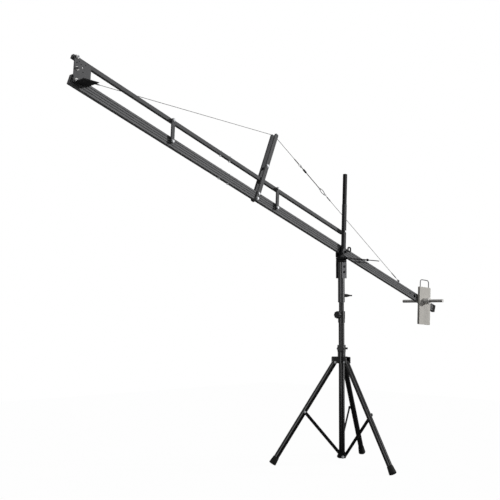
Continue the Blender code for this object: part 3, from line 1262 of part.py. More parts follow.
def make_weights(origin, silver, plate_finish):
    axis = frame("weight_bar_axis", on_arm(WEIGHT_AT), parent=origin)
    inner = -WEIGHT_PLATE_INNER
    arm_face = ARM_WIDTH / 2 + FIT
    radius = WEIGHT_BAR_DIA / 2
    steps = (
        (0, -WEIGHT_BAR_NEAR),
        (radius, inner + FIT),
        (WEIGHT_FLANGE_DIA / 2, -arm_face),
        (radius, arm_face),
        (WEIGHT_FLANGE_DIA / 2, arm_face + NUT_THICK),
        (radius, WEIGHT_BAR_FAR),
    )
    solid("weight_bar", axis, silver, stepped_pin(steps, FITTING_SIDES))
    lean = frame("weight_plate_hinge", turn=(0, WEIGHT_LEAN, 0), parent=axis)
    half = WEIGHT_PLATE_WIDTH / 2
    top = WEIGHT_PLATE_ABOVE
    bottom = top - WEIGHT_PLATE_HEIGHT
    corner = WEIGHT_CORNER
    outline = arc((half - corner, top - corner), corner, 0, 90, CORNER_STEPS)
    outline += arc((-half + corner, top - corner), corner, 90, 180, CORNER_STEPS)
    outline += arc((-half + corner, bottom + corner), corner, 180, 270, CORNER_STEPS)
    outline += arc((half - corner, bottom + corner), corner, 270, 360, CORNER_STEPS)
    plate = prism(outline, (-WEIGHT_PLATE_OUTER, inner))
    middle = (inner - WEIGHT_PLATE_OUTER) / 2
    bail_x = BAIL_WIDTH / 2
    seat = top - BAIL_SEAT
    sockets = [
        cylinder(BAIL_DIA / 2 + FIT, (x, middle, seat - FIT), (x, middle, top + LAP), ROD_SIDES, bore=True)
        for x in (-bail_x, bail_x)
    ]
    bar_hole = cross_hole((0, 0), radius, (-2 * WEIGHT_PLATE_OUTER, 0), FITTING_SIDES)
    solid("weight_plate", lean, plate_finish, plate, holes=[bar_hole] + sockets)
    peak = top + BAIL_HEIGHT
    path = [(-bail_x, seat)]
    path += list(reversed(arc((-bail_x + BAIL_ROUND, peak - BAIL_ROUND), BAIL_ROUND, 90, 180, BEND_STEPS)))
    path += list(reversed(arc((bail_x - BAIL_ROUND, peak - BAIL_ROUND), BAIL_ROUND, 0, 90, BEND_STEPS)))
    path.append((bail_x, seat))
    solid("weight_bail", lean, silver, rod([(x, middle, z) for x, z in path], BAIL_DIA / 2))
    nut_face = -WEIGHT_PLATE_OUTER - FIT
    nut = cylinder(WEIGHT_NUT_DIA / 2, (0, nut_face - WEIGHT_NUT_LENGTH, 0), (0, nut_face, 0), FITTING_SIDES)
    nut_axis = frame("weight_nut_axis", parent=axis)
    bore = cross_hole((0, 0), radius, (-WEIGHT_BAR_NEAR, 0), FITTING_SIDES)
    solid("weight_nut", nut_axis, silver, nut, holes=[bore])


def stand_on_origin(origin):
    """Move the whole crane so that the middle of its box stands on the origin."""
    bpy.context.view_layer.update()
    graph = bpy.context.evaluated_depsgraph_get()
    low = Vector((math.inf, math.inf))
    high = Vector((-math.inf, -math.inf))
    for item in bpy.context.scene.objects:
        if item.type != "MESH" or item.hide_render:
            continue
        shape = item.evaluated_get(graph)
        for vertex in shape.data.vertices:
            place = shape.matrix_world @ vertex.co
            low = Vector((min(low.x, place.x), min(low.y, place.y)))
            high = Vector((max(high.x, place.x), max(high.y, place.y)))
    middle = (low + high) / 2
    origin.location = (-middle.x, -middle.y, 0)


def main():
    clear_scene()
    black = finish("Gloss black paint", (0.012, 0.012, 0.013), 0.25)
    satin = finish("Satin dark grey paint", (0.055, 0.055, 0.058), 0.45)
    grey = finish("Black anodised aluminium", (0.060, 0.060, 0.062), 0.45, 0.6)
    plate_grey = finish("Grey anodised plate", (0.110, 0.110, 0.112), 0.5, 0.5)
    dark = finish("Black fittings", (0.015, 0.015, 0.016), 0.5)
    rubber = finish("Black rubber", (0.010, 0.010, 0.010), 0.8)
    plastic = finish("Black moulded plastic", (0.014, 0.014, 0.014), 0.6)
    silver = finish("Zinc plated steel", (0.60, 0.60, 0.60), 0.3, 1.0)
    steel = finish("Steel wire", (0.35, 0.35, 0.36), 0.35, 1.0)
    weight = finish("Brushed weight plate", (0.56, 0.55, 0.53), 0.45, 0.8)

    origin = frame("crane")
    make_stand(origin, black, rubber, plastic)
    make_column(origin, black, satin, plate_grey, dark, plastic)
    make_tilt_head(origin, plate_grey, dark, silver)
    arm = frame("arm_tilt", on_arm(0), (0, TILT, 0), origin)
    make_main_arm(arm, grey, plastic, silver)
    pivot = Vector((FULCRUM_X, 0, FULCRUM_HEIGHT)) + raked(BAR_SPACING)
    bar = frame("upper_bar_hinge", pivot, (0, TILT, 0), origin)
    make_upper_bar(bar, grey, plastic, silver)
    make_links(origin, dark)
    make_camera_end(origin, plate_grey, dark, silver)
    make_king_post(arm, grey, dark)
    make_stays(arm, steel, silver)
    make_weights(origin, silver, weight)
    stand_on_origin(origin)


main()
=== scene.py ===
# %% [markdown]
# # A camera jib crane in the studio
# The crane is a long counterweighted arm on a tripod stand. Its solids come from CAD, already in
# place and in metres, so this lesson only dresses them: camera, light, finishes and small hardware.
# Every piece that is added here rides on one of the CAD's moving bodies.

import json
import math

import bmesh
import bpy
from mathutils import Matrix, Vector


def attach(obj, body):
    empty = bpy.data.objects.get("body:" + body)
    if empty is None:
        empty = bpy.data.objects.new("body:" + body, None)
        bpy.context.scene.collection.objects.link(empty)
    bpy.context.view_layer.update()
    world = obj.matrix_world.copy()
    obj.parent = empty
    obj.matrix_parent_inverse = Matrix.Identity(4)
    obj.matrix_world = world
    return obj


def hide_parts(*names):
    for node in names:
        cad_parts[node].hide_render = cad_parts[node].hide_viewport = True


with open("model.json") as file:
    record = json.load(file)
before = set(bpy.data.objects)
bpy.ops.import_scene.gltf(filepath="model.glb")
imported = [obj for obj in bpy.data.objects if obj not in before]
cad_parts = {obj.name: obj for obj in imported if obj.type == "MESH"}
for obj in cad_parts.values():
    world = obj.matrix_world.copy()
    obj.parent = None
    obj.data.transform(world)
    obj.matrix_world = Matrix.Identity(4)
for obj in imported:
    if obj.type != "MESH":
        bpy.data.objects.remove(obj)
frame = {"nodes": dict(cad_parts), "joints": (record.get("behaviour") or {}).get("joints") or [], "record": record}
nodes = frame["nodes"]
joint_at = {joint["name"]: Vector(joint["pos_m"]) for joint in frame["joints"] if joint.get("pos_m")}
slot_of = {part["node"]: part["material_slot"] for part in frame["record"]["subparts"]}
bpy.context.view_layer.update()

# %% [markdown]
# ## The arm's own directions
# The arm leans 18.5 degrees and the mast and links 2.4 degrees, so most hardware is placed along these
# directions from the fulcrum, not along X and Z. Naming them once keeps every later place readable.

# %% Places on the arm, the mast and the king post
TILT = math.radians(18.5)
RAKE = math.radians(2.4)
KING_LEAN = math.radians(3.6)
KING_FOOT = -0.822
BAR_SPACING = 0.116
CLEARANCE = 0.0003
ALONG = Vector((math.cos(TILT), 0, -math.sin(TILT)))
ACROSS = Vector((0, 1, 0))
NORMAL = Vector((math.sin(TILT), 0, math.cos(TILT)))
UPRIGHT = Vector((math.sin(RAKE), 0, math.cos(RAKE)))
NEAR = Vector((0, -1, 0))
fulcrum = joint_at["tilt"]
bar_pivot = fulcrum + UPRIGHT * BAR_SPACING
stand_axis = Vector((joint_at["column_turn"].x, joint_at["column_turn"].y, 0))


def on_arm(s, n=0.0, y=0.0):
    """A place s along the arm from the fulcrum, n above its middle line and y across it."""
    return fulcrum + ALONG * s + NORMAL * n + ACROSS * y


def on_king(up, y=0.0):
    """A place up the king post, which leans towards the weights."""
    return on_arm(KING_FOOT + up * math.sin(KING_LEAN), up * math.cos(KING_LEAN), y)


def put_in_scene(name, data):
    """A new object for a mesh, lamp or camera, linked to the scene."""
    thing = bpy.data.objects.new(name, data)
    bpy.context.scene.collection.objects.link(thing)
    return thing


print("fulcrum:", tuple(round(v, 4) for v in fulcrum))

# %% [markdown]
# ## Camera
# The photograph was taken from the crane's front left, a little under a metre above the floor, with a
# long lens pointed slightly up. One camera fitted to the stand and the arm gave these numbers.

# %% Set up the camera
CAMERA_FROM_STAND = Vector((-4.134, -3.287, 0.923))
CAMERA_AZIMUTH = math.radians(-45.07)
CAMERA_PITCH = math.radians(4.80)
CAMERA_ROLL = math.radians(0.335)
FOCAL_PIXELS = 810.8
PICTURE_PIXELS = 500
SENSOR_MM = 36

forward = Vector((
    -math.sin(CAMERA_AZIMUTH) * math.cos(CAMERA_PITCH),
    math.cos(CAMERA_AZIMUTH) * math.cos(CAMERA_PITCH),
    math.sin(CAMERA_PITCH),
))
right = Vector((math.cos(CAMERA_AZIMUTH), math.sin(CAMERA_AZIMUTH), 0))
up = right.cross(forward)
rolled_right = right * math.cos(CAMERA_ROLL) + up * math.sin(CAMERA_ROLL)
rolled_up = up * math.cos(CAMERA_ROLL) - right * math.sin(CAMERA_ROLL)
camera = put_in_scene("studio_camera", bpy.data.cameras.new("studio_camera"))
camera.data.sensor_width = SENSOR_MM
camera.data.lens = FOCAL_PIXELS * SENSOR_MM / PICTURE_PIXELS
camera.matrix_world = Matrix((rolled_right, rolled_up, -forward)).transposed().to_4x4()
camera.matrix_world.translation = stand_axis + CAMERA_FROM_STAND
bpy.context.scene.camera = camera
print("lens:", round(camera.data.lens, 2), "mm")

# %% [markdown]
# ## Helpers for materials
# Colours are written as sRGB hex values, the way a paint chart gives them, and turned to the linear
# values that Blender mixes light with. One small function adds any node with its settings and links.

# %% Colour and node helpers
def linear(hex_colour):
    """An sRGB hex colour as linear red, green, blue and alpha."""
    channels = [int(hex_colour[i:i + 2], 16) / 255 for i in (1, 3, 5)]
    return [c / 12.92 if c <= 0.04045 else ((c + 0.055) / 1.055) ** 2.4 for c in channels] + [1.0]


def add(tree, kind, inputs=None, **settings):
    """Add a node. An input is a value, or another node's output to link from."""
    node = tree.nodes.new(kind)
    for name, value in settings.items():
        setattr(node, name, value)
    for name, value in (inputs or {}).items():
        if isinstance(value, bpy.types.NodeSocket):
            tree.links.new(value, node.inputs[name])
        else:
            node.inputs[name].default_value = value
    return node


print("white in linear light:", linear("#FFFFFF"))

# %% [markdown]
# ## Light, backdrop and floor
# The picture is a cut-out on white with hard shadows: a key light low from the right, a softer one from
# above, and little fill, so faces turned left go nearly black. The white comes from the backdrop's own
# colour for the rays that see or mirror it, while the light on the crane stays at a plain level.

# %% White backdrop
FILL_STRENGTH = 0.14
world = bpy.data.worlds.new("white_studio")
bpy.context.scene.world = world
world.use_nodes = True
tree = world.node_tree
tree.nodes.clear()
path = add(tree, "ShaderNodeLightPath")
seen = add(tree, "ShaderNodeMath", {0: path.outputs["Is Camera Ray"], 1: path.outputs["Is Glossy Ray"]},
           operation="MAXIMUM")
seen = add(tree, "ShaderNodeMath", {0: seen.outputs[0], 1: path.outputs["Is Transmission Ray"]},
           operation="MAXIMUM")
fill = add(tree, "ShaderNodeBackground", {"Color": linear("#F2F5FA"), "Strength": FILL_STRENGTH})
white = add(tree, "ShaderNodeBackground", {"Color": linear("#FFFFFF"), "Strength": 1.0})
mix = add(tree, "ShaderNodeMixShader", {0: seen.outputs[0], 1: fill.outputs[0], 2: white.outputs[0]})
add(tree, "ShaderNodeOutputWorld", {"Surface": mix.outputs[0]})
bpy.context.scene.view_settings.view_transform = "Standard"
print("fill light:", FILL_STRENGTH)

# %% [markdown]
# ## Lamps
# Two distant lamps light the crane: a sharp key light and a broad top light. The stand's glossy tubes
# also show upright white stripes, which are the mirror images of two tall soft boxes. These would wash
# out the matt pieces, so they are only mirrored: the camera and matt surfaces don't see them.

# %% Lamps and soft boxes
def add_lamp(name, towards, strength, angle):
    """A distant lamp whose light comes from the direction towards it."""
    data = bpy.data.lights.new(name, "SUN")
    data.energy = strength
    data.angle = math.radians(angle)
    lamp = put_in_scene(name, data)
    lamp.rotation_euler = Vector(towards).to_track_quat("Z", "Y").to_euler()
    print(name, "strength", strength)


def add_softbox(name, azimuth, distance, size, radiance):
    """A tall soft box that only mirrors: an enamelled tube shows it as an upright stripe."""
    data = bpy.data.lights.new(name, "AREA")
    data.shape = "RECTANGLE"
    data.size, data.size_y = size
    data.energy = math.pi * size[0] * size[1] * radiance
    lamp = put_in_scene(name, data)
    back = Vector((math.sin(math.radians(azimuth)), -math.cos(math.radians(azimuth)), 0))
    lamp.location = stand_axis + back * distance + Vector((0, 0, size[1] / 2))
    lamp.rotation_euler = back.to_track_quat("Z", "Y").to_euler()
    lamp.visible_camera = False
    lamp.visible_diffuse = False
    print(name, "radiance", radiance)


add_lamp("key_lamp", towards=(0.70, -0.66, 0.26), strength=3.3, angle=3)
add_lamp("top_lamp", towards=(-0.10, -0.25, 1.0), strength=1.4, angle=20)
add_softbox("right_softbox", azimuth=24, distance=4.0, size=(1.3, 4.0), radiance=10.0)
add_softbox("left_softbox", azimuth=-74, distance=4.0, size=(1.2, 4.0), radiance=7.0)

# %% [markdown]
# ## Floor
# The floor glows white for the camera and lets only a little of its matt paint through, so it shows a
# trace of shadow under the feet. For all other rays it is grey paint, so it doesn't light the crane
# from below.

# %% Make the floor
FLOOR_HALF = 5.0
FLOOR_GLOW = 1.06
GLOW_SHARE = 0.92
floor_mesh = bpy.data.meshes.new("studio_floor")
floor_corners = [(-FLOOR_HALF, -FLOOR_HALF, 0), (FLOOR_HALF, -FLOOR_HALF, 0),
                 (FLOOR_HALF, FLOOR_HALF, 0), (-FLOOR_HALF, FLOOR_HALF, 0)]
floor_mesh.from_pydata(floor_corners, [], [(0, 1, 2, 3)])
floor = put_in_scene("studio_floor", floor_mesh)
floor_finish = bpy.data.materials.new("white_floor_paint")
floor_finish.use_nodes = True
tree = floor_finish.node_tree
tree.nodes.clear()
place = add(tree, "ShaderNodeTexCoord")
mottle = add(tree, "ShaderNodeTexNoise", {"Vector": place.outputs["Object"], "Scale": 3.0, "Detail": 3.0})
shade = add(tree, "ShaderNodeMix", {0: mottle.outputs["Fac"], 6: linear("#7C7C7B"), 7: linear("#868685")},
            data_type="RGBA")
path = add(tree, "ShaderNodeLightPath")
matt = add(tree, "ShaderNodeBsdfDiffuse", {"Color": shade.outputs[2]})
glow = add(tree, "ShaderNodeEmission", {"Color": linear("#FFFFFF"), "Strength": FLOOR_GLOW})
part_glow = add(tree, "ShaderNodeMixShader", {0: GLOW_SHARE, 1: matt.outputs[0], 2: glow.outputs[0]})
mix = add(tree, "ShaderNodeMixShader",
          {0: path.outputs["Is Camera Ray"], 1: matt.outputs[0], 2: part_glow.outputs[0]})
add(tree, "ShaderNodeOutputMaterial", {"Surface": mix.outputs[0]})
floor_mesh.materials.append(floor_finish)
print("floor:", 2 * FLOOR_HALF, "m")

# %% [markdown]
# ## Painted and moulded finishes
# Each finish starts from what the real surface is. Enamel is glassy with a slight orange peel, anodised
# aluminium is matt with fine draw lines, and moulded plastic has a grain. One function lays a noise
# pattern over a base shader: it varies the colour, the roughness and the height of the surface.

# %% A finish with a fine pattern
def make_finish(name, colour, second, roughness, metallic=0.0, specular=0.5, size_mm=3.0, height_mm=0.01,
                stretch=(1, 1, 1), turn=(0, 0, 0)):
    """A shader with a noise pattern of a real size. Stretch makes lines: a small value is a long grain."""
    finish = bpy.data.materials.new(name)
    finish.use_nodes = True
    tree = finish.node_tree
    shader = tree.nodes["Principled BSDF"]
    place = add(tree, "ShaderNodeTexCoord")
    mapped = add(tree, "ShaderNodeMapping",
                 {"Vector": place.outputs["Object"], "Rotation": turn, "Scale": stretch})
    grain = add(tree, "ShaderNodeTexNoise",
                {"Vector": mapped.outputs[0], "Scale": 1000 / size_mm, "Detail": 4.0})
    broad = add(tree, "ShaderNodeTexNoise", {"Vector": place.outputs["Object"], "Scale": 9.0, "Detail": 2.0})
    both = add(tree, "ShaderNodeMath", {0: grain.outputs["Fac"], 1: broad.outputs["Fac"]},
               operation="MULTIPLY")
    spread = add(tree, "ShaderNodeMapRange", {"Value": both.outputs[0], "From Min": 0.05, "From Max": 0.45})
    shade = add(tree, "ShaderNodeMix", {0: spread.outputs[0], 6: linear(colour), 7: linear(second)},
                data_type="RGBA")
    tree.links.new(shade.outputs[2], shader.inputs["Base Color"])
    rough = add(tree, "ShaderNodeMapRange", {"Value": broad.outputs["Fac"], "From Min": 0.3, "From Max": 0.7,
                                             "To Min": roughness[0], "To Max": roughness[1]})
    tree.links.new(rough.outputs[0], shader.inputs["Roughness"])
    bump = add(tree, "ShaderNodeBump",
               {"Height": grain.outputs["Fac"], "Strength": 0.5, "Distance": height_mm / 1000})
    tree.links.new(bump.outputs[0], shader.inputs["Normal"])
    shader.inputs["Metallic"].default_value = metallic
    shader.inputs["Specular IOR Level"].default_value = specular
    return finish


# %% Finishes of the stand and the fittings
# Stove enamel on steel tube: deep black, sharp stripes of the soft boxes, faint orange peel of 4 mm.
enamel = make_finish("black_stove_enamel", "#09090A", "#0E0E0F", (0.14, 0.22), specular=0.20,
                     size_mm=4, height_mm=0.005)
# Satin paint on the cast sleeve: softer highlight than the enamel.
satin = make_finish("satin_grey_paint", "#1C1C1E", "#242426", (0.28, 0.36), specular=0.28, size_mm=2)
# Phosphated and oiled steel fittings: near black with a soft sheen.
fittings = make_finish("black_phosphated_steel", "#0B0B0C", "#131314", (0.50, 0.62), specular=0.06,
                       size_mm=1.5, height_mm=0.02)
# Moulded rubber: matt, slightly greyed where dust sticks.
rubber = make_finish("moulded_rubber", "#111111", "#1A1A19", (0.70, 0.85), specular=0.15,
                     size_mm=1.2, height_mm=0.05)
# Moulded nylon: spark-eroded grain of about a millimetre, drawn a little coarse so that it shows.
nylon = make_finish("moulded_nylon", "#0C0C0D", "#151516", (0.45, 0.58), specular=0.18,
                    size_mm=1.2, height_mm=0.04)
# Zinc plate on steel: mid grey and slightly cloudy, with a broad highlight.
zinc = make_finish("zinc_plated_steel", "#7E7F81", "#8A8B8C", (0.60, 0.70), metallic=1.0, size_mm=2.5)
# Stranded steel wire: dark, because its strands of 0.5 mm shade each other. They are drawn at 2 mm.
wire = make_finish("stranded_wire", "#1E1E1F", "#303031", (0.5, 0.6), metallic=0.3, specular=0.2,
                   size_mm=2, height_mm=0.1)
print("finishes of the stand:", [m.name for m in (enamel, satin, fittings, rubber, nylon, zinc, wire)])

# %% [markdown]
# ## Anodised aluminium
# The arm, the bars and the plates are extruded or sawn aluminium, anodised. The dye is in a matt oxide
# layer, so it looks more like fine paint than bare metal. Extrusion leaves draw lines along the bar.

# %% Finishes of the plates and bars
ARM_LINES = {"size_mm": 2.5, "stretch": (0.02, 1, 1), "turn": (0, -TILT, 0)}
MAST_LINES = {"size_mm": 2.5, "stretch": (1, 1, 0.02)}
# Dark grey dye on the thin upper bar, and a shade lighter on the sawn plates and the cheeks.
bar_black = make_finish("anodised_bar", "#4A4A4B", "#525253", (0.56, 0.64), specular=0.05, **ARM_LINES)
plate_grey = make_finish("anodised_plate", "#505051", "#585859", (0.56, 0.64), specular=0.05)
cheek_grey = make_finish("anodised_cheek_plate", "#5C5C5E", "#646466", (0.56, 0.64), specular=0.05)
# The mast's lower part is grey, and its extension is dyed black.
mast_grey = make_finish("anodised_mast", "#343435", "#3B3B3C", (0.56, 0.64), specular=0.05, **MAST_LINES)
mast_black = make_finish("anodised_mast_extension", "#0E0E0F", "#141415", (0.60, 0.68), specular=0.06,
                         **MAST_LINES)
# The king post's web is drawn the palest aluminium of the crane: painted light for the top lamp that
# its raised face catches. The camera tray is drawn the darkest: painted shade on its underside.
# Painted light: the web's colour is raised for the top light that falls on its tilted face.
web_painted_light = make_finish("anodised_web_painted_light", "#6C6C6E", "#767678", (0.56, 0.66), specular=0.12)
# Painted shade: the tray's near-black colour stands for the shade under it.
tray_painted_shade = make_finish("anodised_tray_painted_shade", "#171718", "#1E1E1F", (0.60, 0.68), specular=0.08)
anodised = (bar_black, plate_grey, cheek_grey, mast_grey, mast_black, web_painted_light, tray_painted_shade)
print("anodised finishes:", [m.name for m in anodised])

# %% [markdown]
# ## Grooves in the main arm
# The arm's profile has shallow grooves along both of its sides. They are too fine for the solids, so a
# height pattern gives their lines: it measures how far a point lies above the arm's middle line, and
# repeats a narrow valley every 12.5 mm. The valleys are drawn 4.4 mm wide, because a real groove is
# finer than a pixel, and near black: painted shade in the grooves. The arm's rear end is black, as if
# it were dipped in vinyl.

# %% Grooved profile
GROOVE_STEP = 0.0125
GROOVE_WIDTH = 0.0044
GROOVE_DEPTH = 0.0008
GROOVES_UP_TO = 0.0225
DIPPED_FROM = 1.132
arm_profile = make_finish("anodised_arm_profile", "#5C5C5D", "#646465", (0.56, 0.64), specular=0.05,
                          **ARM_LINES)
tree = arm_profile.node_tree
shader = tree.nodes["Principled BSDF"]
place = add(tree, "ShaderNodeTexCoord")
above = add(tree, "ShaderNodeVectorMath", {0: place.outputs["Object"], 1: NORMAL}, operation="DOT_PRODUCT")
level = add(tree, "ShaderNodeMath", {0: above.outputs["Value"], 1: fulcrum.dot(NORMAL)},
            operation="SUBTRACT")
near_line = add(tree, "ShaderNodeMath", {0: level.outputs[0], 1: GROOVE_STEP / 2}, operation="PINGPONG")
valley = add(tree, "ShaderNodeMapRange", {"Value": near_line.outputs[0], "From Min": GROOVE_WIDTH / 4,
                                          "From Max": GROOVE_WIDTH / 2})
height = add(tree, "ShaderNodeMath", {0: level.outputs[0]}, operation="ABSOLUTE")
margin = add(tree, "ShaderNodeMath", {0: height.outputs[0], 1: GROOVES_UP_TO}, operation="GREATER_THAN")
flat = add(tree, "ShaderNodeMath", {0: valley.outputs[0], 1: margin.outputs[0]}, operation="MAXIMUM")
old_colour = shader.inputs["Base Color"].links[0].from_socket
# Painted shade: the valleys take a near-black colour for the shade inside the grooves.
dark = add(tree, "ShaderNodeMix", {0: flat.outputs[0], 6: linear("#18181A"), 7: old_colour},
           data_type="RGBA")
along = add(tree, "ShaderNodeVectorMath", {0: place.outputs["Object"], 1: ALONG}, operation="DOT_PRODUCT")
dipped = add(tree, "ShaderNodeMath", {0: along.outputs["Value"], 1: fulcrum.dot(ALONG) + DIPPED_FROM},
             operation="GREATER_THAN")
dark = add(tree, "ShaderNodeMix", {0: dipped.outputs[0], 6: dark.outputs[2], 7: linear("#0E0E0E")},
           data_type="RGBA")
tree.links.new(dark.outputs[2], shader.inputs["Base Color"])
old_bump = shader.inputs["Normal"].links[0].from_socket
grooved = add(tree, "ShaderNodeBump", {"Height": flat.outputs[0], "Strength": 0.8,
                                       "Distance": GROOVE_DEPTH, "Normal": old_bump})
tree.links.new(grooved.outputs[0], shader.inputs["Normal"])
print("grooves every", GROOVE_STEP * 1000, "mm")

# %% [markdown]
# ## The weight plate, its bar and its nut
# The plate is steel under a pale, slightly warm grey coat, brushed upright, so it has faint streaks. The
# bar that it hangs on and the nut that holds it are turned steel. They are the crane's light pieces.

# %% Coated and turned steel
plate_coat = make_finish("coated_weight_steel", "#A8A59F", "#ADAAA4", (0.55, 0.65), specular=0.12,
                         size_mm=8, stretch=(1, 1, 0.1))
steel_bar = make_finish("turned_steel_bar", "#8C8A87", "#949290", (0.48, 0.56), metallic=0.3,
                        size_mm=6, height_mm=0.005)
nut_steel = make_finish("turned_steel_nut", "#C0BEBA", "#C8C6C2", (0.50, 0.60), specular=0.2,
                        size_mm=6, height_mm=0.005)
print("finishes of the weights:", [m.name for m in (plate_coat, steel_bar, nut_steel)])

# %% [markdown]
# ## Give every solid its finish
# The record names a slot for each node. Some nodes of one slot differ a little on the real crane,
# and the king post's web and the camera tray carry painted light and painted shade, so a short list
# of exceptions comes after the slots.

# %% Assign the finishes
by_slot = {
    "gloss_black": enamel,
    "satin_grey": satin,
    "black_anodised": bar_black,
    "grey_anodised": plate_grey,
    "black_fittings": fittings,
    "rubber": rubber,
    "knob_plastic": nylon,
    "zinc": zinc,
    "wire": wire,
    "weight_steel": plate_coat,
}
exceptions = {
    "main_arm_front": arm_profile,
    "main_arm_rear": arm_profile,
    "mast": mast_grey,
    "mast_extension": mast_black,
    "bracket_plate_near": cheek_grey,
    "bracket_plate_far": cheek_grey,
    # The web's finish holds painted light, and the tray's finish holds painted shade.
    "king_web": web_painted_light,
    "camera_tray": tray_painted_shade,
    "weight_bar": steel_bar,
    "weight_bail": wire,
    "weight_nut": nut_steel,
    "turnbuckle": fittings,
    "snap_hook": fittings,
    "tilt_lock_handle": fittings,
}
for name, solid in nodes.items():
    finish = exceptions.get(name, by_slot[slot_of[name]])
    solid.data.materials.clear()
    solid.data.materials.append(finish)
print("finished solids:", len(nodes))

# %% [markdown]
# ## Smooth round solids
# The CAD's round pieces have flat sides, which a glossy paint would show. A small node tree welds the
# loose triangles and shades every edge smooth unless its two faces meet at more than 35 degrees. The
# solids' own meshes stay as they are, because the tree is only a modifier.

# %% Smooth by angle
SHARP_ANGLE = math.radians(35)
WELD_DISTANCE = 0.00001


def make_smoothing(limit):
    """A node tree that welds a mesh and shades its edges smooth where they bend less than a limit."""
    tree = bpy.data.node_groups.new("smooth_round_sides", "GeometryNodeTree")
    tree.interface.new_socket("Geometry", in_out="INPUT", socket_type="NodeSocketGeometry")
    tree.interface.new_socket("Geometry", in_out="OUTPUT", socket_type="NodeSocketGeometry")
    start = add(tree, "NodeGroupInput")
    weld = add(tree, "GeometryNodeMergeByDistance", {"Geometry": start.outputs[0], "Distance": WELD_DISTANCE})
    angle = add(tree, "GeometryNodeInputMeshEdgeAngle")
    gentle = add(tree, "FunctionNodeCompare", {0: angle.outputs["Unsigned Angle"], 1: limit},
                 operation="LESS_THAN")
    faces = add(tree, "GeometryNodeSetShadeSmooth", {0: weld.outputs[0]}, domain="FACE")
    edges = add(tree, "GeometryNodeSetShadeSmooth",
                {0: faces.outputs[0], "Shade Smooth": gentle.outputs[0]}, domain="EDGE")
    add(tree, "NodeGroupOutput", {0: edges.outputs[0]})
    return tree


smoothing = make_smoothing(SHARP_ANGLE)
for solid in nodes.values():
    solid.modifiers.new("Smooth round sides", "NODES").node_group = smoothing
print("smoothed:", len(nodes))

# %% [markdown]
# ## Hexagon bolt heads
# Bolts repeat all over the crane, so one Geometry Nodes tree makes them: it sets a hexagon head with a
# washer on each point of a small mesh, pointing where the point's own direction says. The sizes are the
# tree's named inputs. The result is turned to a plain mesh for each body, because bodies move apart.

# %% The tree of the bolt heads
CHAMFER_SHARE = 0.2
TOP_SHARE = 0.86
WASHER_SIDES = 24


